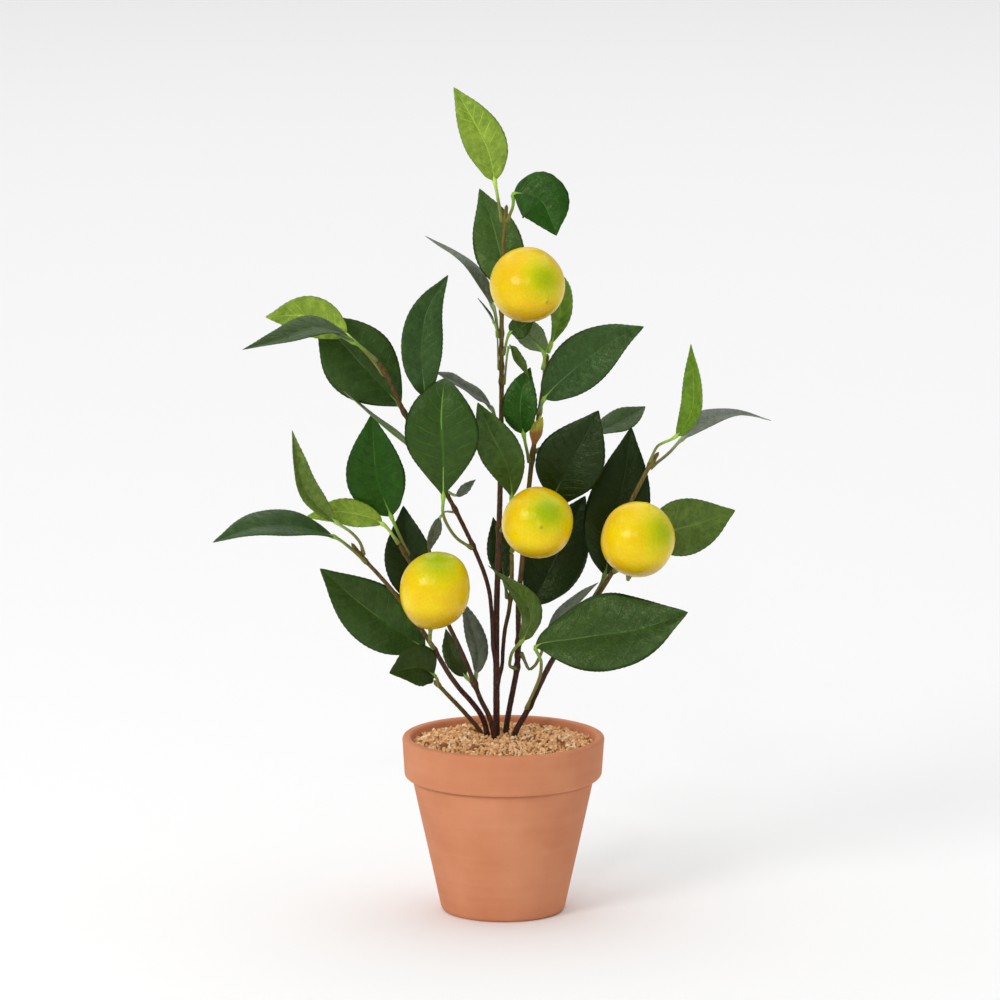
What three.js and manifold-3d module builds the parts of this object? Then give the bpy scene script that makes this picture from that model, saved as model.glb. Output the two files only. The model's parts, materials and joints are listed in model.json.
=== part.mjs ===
// A potted lemon tree, 500 mm tall, in a tapered clay pot with a thick rim.
// Six thin stems leave the potting soil together and two more fork from the leader.
// They carry 41 leaves and four small, nearly round lemons.
// Millimetres, +Z up. The origin is the centre of the pot's base, and -Y is the tree's front.
import * as THREE from 'three';
import { mergeVertices } from 'three/addons/utils/BufferGeometryUtils.js';
import Module from 'manifold-3d';

const wasm = await Module();
wasm.setup();

// ---------------------------------------------------------------- driving dimensions
const GAP = 0.3; // clearance between pieces that touch

const POT_HEIGHT = 105.3;
const POT_WALL = 5;
const POT_FLOOR = 6;
const POT_BASE_RADIUS = 36.5;
const POT_FLARE = 0.2176; // growth of the body's radius for each mm of height
const RIM_RADIUS = 60;
const RIM_HEIGHT = 24.6;
const BASE_EDGE = 2; // size of the rounding round the pot's base
const DRAIN_RADIUS = 7;
const POT_SIDES = 48;

const SOIL_TOP = 97; // height of the soil's edge, under the topping
const TOPPING_EDGE = 101.7; // height of the topping at the pot's wall
const TOPPING_RISE = 2.4; // how much higher it is around the stems
const TOPPING_BUMP = 0.7; // height of the chips' bumps
const STEM_FOOT = 72; // height that the stems reach down to in the soil

const STEM_SIDES = 8;
const STEM_STEP = 12; // distance between a stem's rings
const PETIOLE_RADIUS = 0.9;
const LEAF_VEIN = 0.6; // how far the midrib stands out under a leaf
const LEAF_BODY = 0.35; // thickness of a leaf above its middle plane

const LEMON_ROWS = 12;
const LEMON_SIDES = 16;
const NIPPLE_HEIGHT = 1.6;
const NIPPLE_NARROWING = 16; // a larger power makes a narrower nipple
const STALK_RADIUS = 1.1;
const STALK_STEP = 3.5; // distance between a stalk's rings
const CALYX_RADIUS = 3.4;
const CALYX_SHARE = 1 / 6; // share of the stalk's length that the calyx tapers over
const CALYX_NECK = 3; // straight stretch of the stalk behind the lemon

// ---------------------------------------------------------------- materials
const matte = (colour, roughness) => new THREE.MeshStandardMaterial({ color: colour, roughness, metalness: 0 });
const CLAY = matte(0xd08864, 0.85);
const SOIL = matte(0x4a3426, 0.95);
const CHIPS = matte(0xc4905d, 0.9);
const BARK = matte(0x46312a, 0.7);
const PEEL = matte(0xf0cd1e, 0.45);
const STALK = matte(0x6f8a34, 0.6);
const LEAF_TONES = {
  mature: matte(0x2f4f22, 0.5),
  shaded: matte(0x243c18, 0.5),
  vivid: matte(0x2c6112, 0.5),
  olive: matte(0x5a7030, 0.55),
  grey: matte(0x66785a, 0.6),
  young: matte(0x8ba446, 0.55),
};

// ---------------------------------------------------------------- shared helpers
const point = ([x, y, z]) => new THREE.Vector3(x, y, z);
const mix = (a, b, t) => a + (b - a) * t;
const tree = new THREE.Group();

function add(name, geometry, material) {
  const mesh = new THREE.Mesh(geometry, material);
  mesh.name = name;
  tree.add(mesh);
  return mesh;
}

function smoothCurve(points) {
  return new THREE.CatmullRomCurve3(points, false, 'centripetal');
}

// A closed skin over rings of equal count, drawn to a point at each end.
function loft(rings, start, end) {
  const count = rings[0].length;
  const corners = [...rings.flat(), start, end];
  const startIndex = corners.length - 2;
  const endIndex = corners.length - 1;
  const faces = [];
  for (let i = 0; i < count; i += 1) {
    const j = (i + 1) % count;
    faces.push(startIndex, j, i);
    for (let r = 0; r + 1 < rings.length; r += 1) {
      const low = r * count;
      const high = low + count;
      faces.push(low + i, low + j, high + j, low + i, high + j, high + i);
    }
    const last = (rings.length - 1) * count;
    faces.push(last + i, last + j, endIndex);
  }
  const geometry = new THREE.BufferGeometry();
  geometry.setAttribute('position', new THREE.Float32BufferAttribute(corners.flatMap((p) => [p.x, p.y, p.z]), 3));
  geometry.setIndex(faces);
  return geometry;
}

// A round tube along a curve. radiusAt takes the fraction of the way along it, and startCap says how far
// the first end bulges, in radii.
function taperedTube(curve, radiusAt, step, startCap = 0.3) {
  const steps = Math.max(3, Math.ceil(curve.getLength() / step));
  const frames = curve.computeFrenetFrames(steps, false);
  const rings = [];
  for (let s = 0; s <= steps; s += 1) {
    const centre = curve.getPointAt(s / steps);
    const ring = [];
    for (let k = 0; k < STEM_SIDES; k += 1) {
      const angle = (2 * Math.PI * k) / STEM_SIDES;
      const radius = radiusAt(s / steps);
      ring.push(centre.clone()
        .addScaledVector(frames.normals[s], radius * Math.cos(angle))
        .addScaledVector(frames.binormals[s], radius * Math.sin(angle)));
    }
    rings.push(ring);
  }
  const start = curve.getPointAt(0).addScaledVector(frames.tangents[0], -startCap * radiusAt(0));
  const end = curve.getPointAt(1).addScaledVector(frames.tangents[steps], 0.6 * radiusAt(1));
  return loft(rings, start, end);
}

// ---------------------------------------------------------------- pot
const bodyRadius = (z) => POT_BASE_RADIUS + POT_FLARE * z;
const insideRadius = (z) => bodyRadius(z) - POT_WALL;
const upright = (profile, sides) => new THREE.LatheGeometry(
  profile.map(([r, z]) => new THREE.Vector2(r, z)),
  sides,
).rotateX(Math.PI / 2);

function makePot() {
  const rimBottom = POT_HEIGHT - RIM_HEIGHT;
  const profile = [
    [DRAIN_RADIUS, 0],
    [bodyRadius(0) - BASE_EDGE, 0],
    [bodyRadius(0) - 0.3 * BASE_EDGE, 0.3 * BASE_EDGE],
    [bodyRadius(BASE_EDGE), BASE_EDGE],
    [bodyRadius(rimBottom), rimBottom],
    [RIM_RADIUS - 2.8, rimBottom],
    [RIM_RADIUS - 1.4, rimBottom + 1.8],
    [RIM_RADIUS, POT_HEIGHT - 1.6],
    [RIM_RADIUS - 0.5, POT_HEIGHT - 0.4],
    [RIM_RADIUS - 1.5, POT_HEIGHT],
    [insideRadius(POT_HEIGHT) + 1.2, POT_HEIGHT],
    [insideRadius(POT_HEIGHT) + 0.2, POT_HEIGHT - 1],
    [insideRadius(POT_FLOOR + 2), POT_FLOOR + 2],
    [insideRadius(POT_FLOOR) - 2, POT_FLOOR],
    [DRAIN_RADIUS, POT_FLOOR],
    [DRAIN_RADIUS, 0],
  ];
  return upright(profile, POT_SIDES);
}

// ---------------------------------------------------------------- stems
// Each route runs from the root to the tip. The radii are those of its two ends.
const STEMS = {
  leader: { radii: [2.1, 1.1], route: [
    [-4, 3, STEM_FOOT], [-4, 3, 101], [-4, 1, 133], [-4, 0, 175], [-2, 4, 246],
    [-1, 6, 306], [-1, 6, 348], [0, 6, 395], [2, 4, 422]] },
  upper_left: { radii: [1.2, 1.4], route: [
    [-6, -4, 159], [-7, -5, 182], [-9, -6, 197], [-15, -10, 215], [-25, -16, 238],
    [-37, -24, 263], [-46, -28, 285], [-56, -30, 301], [-69, -34, 329], [-73, -35, 335]] },
  middle: { radii: [1.8, 1.3], route: [
    [1, 9, STEM_FOOT], [1, 9, 100], [4, 11, 121], [8, 9, 143], [9, 7, 162], [9, 5, 186],
    [11, 4, 207], [15, 4, 252], [18, 4, 279], [22, 6, 303], [26, 9, 333]] },
  short: { radii: [1.2, 1.3], route: [
    [-1, 5, 145], [1, 5, 168], [4, 6, 183], [5, 6, 198], [5, 5, 215]] },
  right: { radii: [1.9, 1.2], route: [
    [5, 3, STEM_FOOT], [5, 3, 100], [16, -2, 124], [29, -6, 152], [45, -6, 176], [58, -2, 194],
    [68, 2, 211], [76, 8, 246], [83, 12, 258], [87, 15, 266], [92, 17, 273]] },
  left: { radii: [1.8, 1.1], route: [
    [-9, 6, STEM_FOOT], [-9, 6, 101], [-13, 2, 117], [-29, -6, 139], [-37, -10, 153], [-46, -14, 169],
    [-61, -18, 191], [-72, -21, 205], [-85, -24, 220], [-89, -25, 226]] },
  lower_left: { radii: [1.6, 1.2], route: [
    [-10, 12, STEM_FOOT], [-10, 12, 99], [-15, 11, 107], [-23, 10, 117], [-32, 4, 128], [-41, -2, 139]] },
  inner_left: { radii: [1.7, 1.1], route: [
    [-5, -4, STEM_FOOT], [-5, -4, 101], [-8, -6, 117], [-14, -7, 130], [-18, -8, 141], [-24, -8, 156],
    [-31, -8, 171], [-38, -8, 186], [-49, -8, 201], [-61, -8, 222]] },
};

for (const stem of Object.values(STEMS)) {
  stem.curve = smoothCurve(stem.route.map(point));
  stem.radiusAt = (t) => mix(stem.radii[0], stem.radii[1], t);
}

// ---------------------------------------------------------------- soil and topping
function asSolid(geometry) {
  const bare = new THREE.BufferGeometry();
  bare.setAttribute('position', geometry.getAttribute('position'));
  bare.setIndex(geometry.getIndex());
  const merged = mergeVertices(bare, 1e-3);
  const mesh = new wasm.Mesh({
    numProp: 3,
    vertProperties: new Float32Array(merged.getAttribute('position').array),
    triVerts: new Uint32Array(merged.getIndex().array),
  });
  return new wasm.Manifold(mesh);
}

function asGeometry(solid) {
  const mesh = solid.getMesh();
  const geometry = new THREE.BufferGeometry();
  geometry.setAttribute('position', new THREE.BufferAttribute(new Float32Array(mesh.vertProperties), 3));
  geometry.setIndex(new THREE.BufferAttribute(new Uint32Array(mesh.triVerts), 1));
  return geometry;
}

// The ground pieces have a hole, two gaps wider than the stem all round, wherever a stem enters them.
function withStemHoles(geometry) {
  let solid = asSolid(geometry);
  for (const stem of Object.values(STEMS)) {
    if (stem.route[0][2] !== STEM_FOOT) continue;
    const hole = taperedTube(stem.curve, (t) => stem.radiusAt(t) + 2 * GAP, STEM_STEP, 0.8);
    solid = solid.subtract(asSolid(hole));
  }
  return asGeometry(solid);
}

function makeSoil() {
  const reach = (z) => insideRadius(z) - GAP;
  const profile = [
    [0, POT_FLOOR + GAP],
    [reach(POT_FLOOR) - 2.3, POT_FLOOR + GAP],
    [reach(POT_FLOOR + 2.5), POT_FLOOR + 2.5],
    [reach(SOIL_TOP), SOIL_TOP],
    [0, SOIL_TOP],
  ];
  return withStemHoles(upright(profile, POT_SIDES));
}

// The topping is a low mound whose upper face is uneven, as packed chips are.
function makeTopping() {
  const rows = 9;
  const outer = insideRadius(TOPPING_EDGE) - GAP - 0.1;
  const profile = [[0, SOIL_TOP + GAP], [insideRadius(SOIL_TOP) - GAP - 0.1, SOIL_TOP + GAP]];
  for (let row = 0; row <= rows; row += 1) {
    const t = 1 - row / rows;
    profile.push([outer * t, TOPPING_EDGE + TOPPING_RISE * (1 - t * t)]);
  }
  const geometry = upright(profile, POT_SIDES);
  const corners = geometry.getAttribute('position');
  for (let i = 0; i < corners.count; i += 1) {
    const x = corners.getX(i);
    const y = corners.getY(i);
    const z = corners.getZ(i);
    const inward = Math.hypot(x, y) < outer - 1;
    if (z > TOPPING_EDGE && inward) {
      const bump = Math.sin(0.61 * x + 1.3) * Math.sin(0.53 * y) + 0.5 * Math.sin(0.9 * x - 0.8 * y);
      corners.setZ(i, z + TOPPING_BUMP * bump);
    }
  }
  return withStemHoles(geometry);
}

// ---------------------------------------------------------------- leaves
// stem and at say where a leaf's petiole leaves, as a fraction of the stem's length.
// The petiole may pass through a few points, and the rib runs from the blade's base to its tip.
// faces is where the upper side looks, fold lifts both halves and twist turns the blade along its rib.
// belly is the fraction of the blade's length at which it is widest.
const LEAVES = [
  // around the leader
  { name: 'crown_pale', stem: 'leader', at: 0.975, tone: 'young', wide: 25, faces: [0.1, -1, 0.15], fold: 8,
    rib: [[-5, 2, 436], [-9, 0, 455], [-18, 0, 473], [-29, 4, 491]] },
  { name: 'crown_arched', stem: 'leader', at: 0.975, tone: 'mature', wide: 32, faces: [0.1, -1, 0.3], fold: 10,
    petiole: [[6, -2, 423]],
    rib: [[6, -3, 429], [22, -8, 426], [31, -14, 406]] },
  { name: 'crown_back', stem: 'leader', at: 0.82, tone: 'mature', wide: 30, faces: [-0.15, -1, 0.2], fold: 10,
    rib: [[3, 12, 369], [-2, 18, 393], [-8, 22, 414], [-14, 24, 429]] },
  { name: 'crown_slender', stem: 'leader', at: 0.78, tone: 'mature', wide: 18, faces: [0.7, -0.3, 0.6], fold: 12,
    rib: [[-6, 3, 362], [-22, 12, 385], [-46, 30, 400]] },
  { name: 'crown_short', stem: 'leader', at: 0.75, tone: 'mature', wide: 13, faces: [0.2, -1, 0.4], fold: 8,
    rib: [[4, -1, 347], [9, -4, 350], [18, -3, 355]] },
  { name: 'crown_wisp', stem: 'leader', at: 0.725, tone: 'mature', wide: 6, faces: [0.8, -0.1, 0.6], fold: 8,
    rib: [[-5, 2, 352], [-15, -4, 368]] },
  { name: 'crown_ribbon', stem: 'leader', at: 0.7, tone: 'mature', wide: 11, faces: [0.8, -0.5, 0.5], fold: 14,
    rib: [[4, 0, 339], [9, -3, 330], [15, -5, 321]] },
  { name: 'leader_level', stem: 'leader', at: 0.61, tone: 'mature', wide: 18, faces: [0.42, -0.3, 0.85], fold: 10,
    rib: [[-7, 1, 302], [-24, -8, 316], [-41, -18, 327]] },
  { name: 'leader_front', stem: 'leader', at: 0.45, tone: 'mature', wide: 25, faces: [-0.1, -1, 0.2], fold: 10,
    belly: 0.52, rib: [[5, -4, 249], [2, -10, 270], [-6, -14, 287], [-15, -16, 308]] },
  // on the short stem
  { name: 'short_shaded', stem: 'short', at: 0.62, tone: 'mature', wide: 15, faces: [0.05, -1, 0.1], fold: 10,
    rib: [[1, 7, 197], [-2, 13, 212], [-6, 17, 234]] },
  // on the upper left stem
  { name: 'upper_left_arched', stem: 'upper_left', at: 1, tone: 'mature', wide: 21, faces: [0.1, -0.45, 0.89],
    fold: 14, belly: 0.36, petiole: [[-80, -38, 342]],
    rib: [[-87, -44, 348], [-107, -62, 359], [-128, -80, 355], [-149, -94, 351]] },
  { name: 'upper_left_pale', stem: 'upper_left', at: 0.96, tone: 'young', wide: 24, faces: [0, -1, 0.4], fold: 8,
    petiole: [[-80, -31, 340]],
    rib: [[-91, -32, 350], [-112, -32, 361], [-138, -40, 362]] },
  { name: 'upper_left_broad', stem: 'upper_left', at: 0.82, tone: 'mature', wide: 43, faces: [-0.1, -1, 0.3],
    fold: 10, belly: 0.5,
    rib: [[-60, -24, 307], [-79, -20, 327], [-97, -18, 347], [-110, -18, 359]] },
  { name: 'upper_left_upright', stem: 'upper_left', at: 0.78, tone: 'mature', wide: 25, faces: [0.25, -1, 0.1],
    fold: 10,
    rib: [[-46, -35, 314], [-48, -38, 342], [-44, -34, 365], [-32, -28, 385]] },
  { name: 'upper_left_edge', stem: 'upper_left', at: 0.62, tone: 'mature', wide: 18, faces: [0.62, 0.04, 0.75],
    fold: 10,
    rib: [[-46, -22, 276], [-70, -26, 296], [-93, -36, 318]] },
  { name: 'front_broad', stem: 'upper_left', at: 0.34, tone: 'mature', wide: 44, faces: [0, -1, 0.1], fold: 8,
    belly: 0.56, petiole: [[-28, -21, 229], [-35, -28, 243]],
    rib: [[-35, -33, 255], [-35, -40, 281], [-36, -45, 304], [-35, -41, 318], [-34, -32, 325]] },
  { name: 'front_small', stem: 'upper_left', at: 0.53, tone: 'mature', wide: 6, faces: [0.5, -0.5, 0.7], fold: 8,
    rib: [[-28, -23, 254], [-16, -26, 264]] },
  { name: 'front_hanging', stem: 'upper_left', at: 0.47, tone: 'grey', wide: 9, faces: [0.6, -0.8, 0], fold: 8,
    petiole: [[-34, -21, 244]],
    rib: [[-37, -24, 241], [-41, -25, 231], [-44, -24, 220]] },
  // on the middle stem
  { name: 'right_high_broad', stem: 'middle', at: 0.87, tone: 'mature', wide: 32, faces: [-0.1, -1, 0.3], fold: 10,
    rib: [[24, -3, 308], [43, -10, 328], [65, -16, 345], [82, -24, 354]] },
  { name: 'lemon_side', stem: 'middle', at: 1, tone: 'olive', wide: 17, faces: [0.5, -0.8, 0.2], fold: 12,
    belly: 0.55, rib: [[28, 12, 338], [33, 13, 354], [33, 10, 371], [33, 4, 383]] },
  { name: 'lemon_under', stem: 'middle', at: 0.97, tone: 'mature', wide: 18, faces: [0.2, 0.9, 0.4], fold: 8,
    rib: [[24, 6, 334], [15, 3, 345], [6, -1, 362]] },
  { name: 'middle_ribbed', stem: 'middle', at: 0.76, tone: 'mature', wide: 21, faces: [-0.2, -1, 0.1], fold: 10,
    rib: [[12, -3, 287], [10, -5, 303], [12, -3, 316], [16, 2, 326]] },
  { name: 'middle_broad', stem: 'middle', at: 0.64, tone: 'mature', wide: 40, faces: [-0.1, -1, 0.2], fold: 8,
    petiole: [[21, 2, 244]],
    rib: [[28, -3, 248], [37, -6, 266], [47, -8, 284], [56, -8, 302]] },
  { name: 'middle_far', stem: 'middle', at: 0.78, tone: 'mature', wide: 19, faces: [-0.2, -0.7, 0.7], fold: 10,
    belly: 0.6, petiole: [[34, 16, 282]],
    rib: [[48, 26, 281], [68, 42, 286], [85, 56, 294]] },
  { name: 'middle_shaded', stem: 'middle', at: 0.34, tone: 'shaded', wide: 36, faces: [0, -1, 0], fold: 8,
    rib: [[17, 14, 181], [29, 20, 204], [40, 28, 227], [49, 38, 243]] },
  { name: 'middle_twisted', stem: 'middle', at: 0.28, tone: 'grey', wide: 17, faces: [0.47, -0.71, 0.53], fold: 10,
    twist: 90, belly: 0.38, petiole: [[4, 2, 147], [6, -5, 158]],
    rib: [[11, -8, 164], [16, -13, 181], [6, -16, 197], [-9, -16, 211]] },
  { name: 'middle_grey', stem: 'middle', at: 0.31, tone: 'grey', wide: 16, faces: [-0.5, -0.35, 0.8], fold: 12,
    petiole: [[16, 5, 144], [22, 3, 153]],
    rib: [[25, 0, 164], [38, -6, 182], [56, -12, 200]] },
  // on the right stem
  { name: 'right_shaded', stem: 'right', at: 0.56, tone: 'shaded', wide: 38, faces: [0, -1, -0.05], fold: 8,
    rib: [[60, 10, 200], [64, 16, 223], [71, 20, 253], [76, 30, 286]] },
  { name: 'right_glossy', stem: 'right', at: 0.24, tone: 'mature', wide: 48, faces: [0, -0.9, 0.45], fold: 8,
    belly: 0.5, petiole: [[22, -12, 145], [22, -15, 155]],
    rib: [[19, -17, 162], [48, -26, 170], [78, -34, 176], [108, -42, 188]] },
  { name: 'right_side', stem: 'right', at: 0.69, tone: 'mature', wide: 34, faces: [0.1, -1, 0.2], fold: 8,
    rib: [[83, 10, 221], [99, 14, 226], [117, 20, 230], [138, 28, 236]] },
  { name: 'right_tip_pale', stem: 'right', at: 0.97, tone: 'young', wide: 14, faces: [-0.4, -0.9, 0.1], fold: 22,
    petiole: [[91, 13, 277]],
    rib: [[102, 8, 284], [111, 3, 300], [112, 0, 316], [110, -4, 341]] },
  { name: 'right_tip_arched', stem: 'right', at: 0.96, tone: 'grey', wide: 20, faces: [0.1, -0.15, 1], fold: 12,
    petiole: [[98, 24, 271]],
    rib: [[106, 32, 278], [125, 54, 287], [143, 75, 286], [162, 95, 279]] },
  // on the left stem
  { name: 'left_upright', stem: 'left', at: 0.95, tone: 'olive', wide: 15, faces: [0.6, -0.7, 0.2], fold: 26,
    petiole: [[-84, -23, 226], [-90, -25, 233]],
    rib: [[-98, -28, 239], [-114, -33, 256], [-120, -35, 274], [-123, -36, 295]] },
  { name: 'left_drooping', stem: 'left', at: 0.93, tone: 'mature', wide: 26, faces: [0, -0.55, 0.83], fold: 12,
    petiole: [[-91, -34, 226]],
    rib: [[-99, -42, 233], [-121, -60, 242], [-143, -78, 245], [-167, -94, 239]] },
  { name: 'left_broad', stem: 'left', at: 0.54, tone: 'mature', wide: 37, faces: [-0.05, -1, 0.2], fold: 8,
    rib: [[-46, -4, 159], [-65, -3, 171], [-88, -4, 189], [-108, -10, 208]] },
  // on the inner left stem
  { name: 'inner_left_pale', stem: 'inner_left', at: 1, tone: 'young', wide: 17, faces: [0.1, -0.9, 0.45], fold: 8,
    rib: [[-71, -12, 235], [-93, -17, 243], [-116, -23, 241]] },
  { name: 'inner_left_upright', stem: 'inner_left', at: 0.96, tone: 'vivid', wide: 35, faces: [-0.1, -1, 0.1],
    fold: 14,
    rib: [[-66, -4, 238], [-74, -8, 261], [-76, -12, 282], [-77, -14, 301]] },
  { name: 'inner_left_shaded', stem: 'inner_left', at: 0.8, tone: 'shaded', wide: 29, faces: [-0.1, -1, 0], fold: 18,
    rib: [[-51, 2, 186], [-55, 3, 208], [-59, 5, 243]] },
  { name: 'inner_left_narrow', stem: 'inner_left', at: 0.42, tone: 'grey', wide: 14, faces: [-0.5, -0.8, 0.2],
    fold: 12,
    rib: [[-22, -1, 141], [-29, -1, 154], [-34, 0, 170]] },
  { name: 'inner_left_slender', stem: 'inner_left', at: 0.43, tone: 'olive', wide: 14, faces: [0.5, -0.85, 0.2],
    fold: 12,
    rib: [[-16, -3, 143], [-15, -1, 157], [-20, 1, 174], [-25, 3, 187]] },
  // on the lower left stem
  { name: 'lower_left_folded', stem: 'lower_left', at: 0.96, tone: 'olive', wide: 26, faces: [-0.2, -0.9, 0.4],
    fold: 24,
    rib: [[-41, -16, 145], [-51, -22, 151], [-67, -29, 149]] },
];

// Half of a blade's width, as a fraction of its full half width: round near the base, widest at its belly
// and drawn out at the tip.
function bladeOutline(t, belly) {
  const power = Math.log(0.5) / Math.log(belly);
  return Math.sin(Math.PI * t ** power) ** 0.85 * (1 - 0.35 * t ** 5);
}

const USUAL_BELLY = 0.43;

const BLADE_STATIONS = [0.03, 0.12, 0.24, 0.38, 0.52, 0.66, 0.8, 0.92];
const SHORT_BLADE_STATIONS = [0.05, 0.2, 0.42, 0.66, 0.88];
const SHORT_BLADE = 36; // blades up to this length have fewer stations
const PETIOLE_STEP = 5;

// The petiole starts clear of the stem's bark, on the side that looks towards the leaf.
function petioleRoot(leaf) {
  const { curve, radiusAt } = STEMS[leaf.stem];
  const centre = curve.getPointAt(leaf.at);
  const along = curve.getTangentAt(leaf.at);
  const towards = point((leaf.petiole ?? leaf.rib)[0]).sub(centre).normalize();
  if (leaf.at < 1) towards.addScaledVector(along, -towards.dot(along)).normalize();
  return centre.addScaledVector(towards, radiusAt(leaf.at) + PETIOLE_RADIUS + GAP);
}

// One section: left edge, three points over the top, right edge and one point under the midrib.
function leafSection(centre, side, up, halfWidth, lift, over, under) {
  const places = [[-1, lift], [-0.5, lift / 2 + over], [0, over * 0.8], [0.5, lift / 2 + over], [1, lift], [0, -under]];
  return places.map(([across, height]) => centre.clone()
    .addScaledVector(side, across * halfWidth)
    .addScaledVector(up, height));
}

function makeLeaf(leaf) {
  const stalk = [petioleRoot(leaf), ...(leaf.petiole ?? []).map(point)];
  const route = [...stalk, ...leaf.rib.map(point)];
  const curve = smoothCurve(route);
  curve.arcLengthDivisions = 400;
  const samples = 400;
  const baseSample = Math.round((samples * stalk.length) / (route.length - 1));
  const lengths = curve.getLengths(samples);
  const total = lengths[samples];
  const bladeStart = lengths[baseSample] / total;
  const bladeLength = total * (1 - bladeStart);
  const middle = curve.getTangentAt(mix(bladeStart, 1, 0.45));
  const side = middle.clone().cross(point(leaf.faces)).normalize();

  const rings = [];
  const section = (u, halfWidth, lift, over, under) => {
    const tangent = curve.getTangentAt(u);
    const alongBlade = (u - bladeStart) / (1 - bladeStart);
    const turn = THREE.MathUtils.degToRad(leaf.twist ?? 0) * (Math.max(0, alongBlade) - 0.5);
    const across = side.clone().addScaledVector(tangent, -side.dot(tangent)).normalize();
    across.applyAxisAngle(tangent, turn);
    const up = across.clone().cross(tangent);
    rings.push(leafSection(curve.getPointAt(u), across, up, halfWidth, lift, over, under));
  };

  const petioleSteps = Math.max(2, Math.round((total - bladeLength) / PETIOLE_STEP));
  for (let i = 0; i <= petioleSteps; i += 1) {
    section((bladeStart * i) / petioleSteps, PETIOLE_RADIUS, 0, PETIOLE_RADIUS * 0.75, PETIOLE_RADIUS);
  }
  const stations = bladeLength > SHORT_BLADE ? BLADE_STATIONS : SHORT_BLADE_STATIONS;
  for (const t of stations) {
    const halfWidth = Math.max(PETIOLE_RADIUS, (leaf.wide / 2) * bladeOutline(t, leaf.belly ?? USUAL_BELLY));
    const lift = halfWidth * Math.tan(THREE.MathUtils.degToRad(leaf.fold));
    section(mix(bladeStart, 1, t), halfWidth, lift, LEAF_BODY, LEAF_VEIN);
  }
  const start = curve.getPointAt(0).addScaledVector(curve.getTangentAt(0), -0.25);
  return loft(rings, start, curve.getPointAt(1));
}

// ---------------------------------------------------------------- lemons
// A lemon's blossom end looks along its axis, and its stalk joins the other end to a stem.
// long is its half length along the axis, next to its radius across.
const LEMONS = [
  { name: 'top', centre: [14, -26, 379], radius: 21.8, long: 22.3, axis: [0.5, -0.8, -0.35],
    stem: 'leader', at: 0.9, stalk: [[11, -5, 393]] },
  { name: 'middle', centre: [20, -30, 239], radius: 21, long: 22, axis: [0.1, -1, 0.05],
    stem: 'short', at: 1, stalk: [[12, -7, 232], [6, -3, 222]] },
  { name: 'right', centre: [79, -24, 228], radius: 21.8, long: 22.3, axis: [0.22, -0.17, 0.96],
    stem: 'right', at: 0.66, stalk: [[73, -11, 208]] },
  { name: 'left', centre: [-40, -46, 202], radius: 20.5, long: 23, axis: [0.1, -0.2, 0.97],
    stem: 'left', at: 0.55, stalk: [[-43, -31, 168]] },
];

function makeLemon(lemon) {
  const profile = [];
  for (let row = 0; row <= LEMON_ROWS; row += 1) {
    const angle = -Math.PI / 2 + (Math.PI * row) / LEMON_ROWS;
    const nipple = NIPPLE_HEIGHT * Math.max(0, Math.sin(angle)) ** NIPPLE_NARROWING;
    const across = row % LEMON_ROWS === 0 ? 0 : lemon.radius * Math.cos(angle);
    profile.push(new THREE.Vector2(across, lemon.long * Math.sin(angle) + nipple));
  }
  return new THREE.LatheGeometry(profile, LEMON_SIDES);
}

function makeStalk(lemon, axis) {
  const stem = STEMS[lemon.stem];
  const target = stem.curve.getPointAt(lemon.at);
  const top = point(lemon.centre).addScaledVector(axis, -(lemon.long + GAP));
  const way = lemon.stalk.map(point);
  const back = way[way.length - 1].clone().sub(target).normalize();
  target.addScaledVector(back, stem.radiusAt(lemon.at) + STALK_RADIUS + GAP);
  const neck = top.clone().addScaledVector(axis, -CALYX_NECK);
  const route = smoothCurve([top, neck, ...way, target]);
  const radiusAt = (t) => mix(CALYX_RADIUS, STALK_RADIUS, Math.min(1, t / CALYX_SHARE));
  return taperedTube(route, radiusAt, STALK_STEP, 0);
}

// ---------------------------------------------------------------- the whole tree
add('pot', makePot(), CLAY);
add('potting_soil', makeSoil(), SOIL);
add('bark_topping', makeTopping(), CHIPS);

for (const [name, stem] of Object.entries(STEMS)) {
  add(`stem_${name}`, taperedTube(stem.curve, stem.radiusAt, STEM_STEP), BARK);
}

for (const leaf of LEAVES) {
  add(`leaf_${leaf.name}`, makeLeaf(leaf), LEAF_TONES[leaf.tone]);
}

for (const lemon of LEMONS) {
  const axis = point(lemon.axis).normalize();
  const fruit = add(`lemon_${lemon.name}`, makeLemon(lemon), PEEL);
  fruit.position.set(...lemon.centre);
  fruit.quaternion.setFromUnitVectors(new THREE.Vector3(0, 1, 0), axis);
  add(`stalk_${lemon.name}_lemon`, makeStalk(lemon, axis), STALK);
}

export default tree;
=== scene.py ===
# %% [markdown]
# # A lemon tree in a clay pot
#
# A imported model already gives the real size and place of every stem, leaf, lemon and of the pot. Its
# surfaces are coarse, because it was made for fitting and for physics. This lesson puts a fine surface
# over each piece without moving it. Everything is in metres, +Z is up, and -Y is the tree's front.

# %% Load the frame
import json
import math

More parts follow.
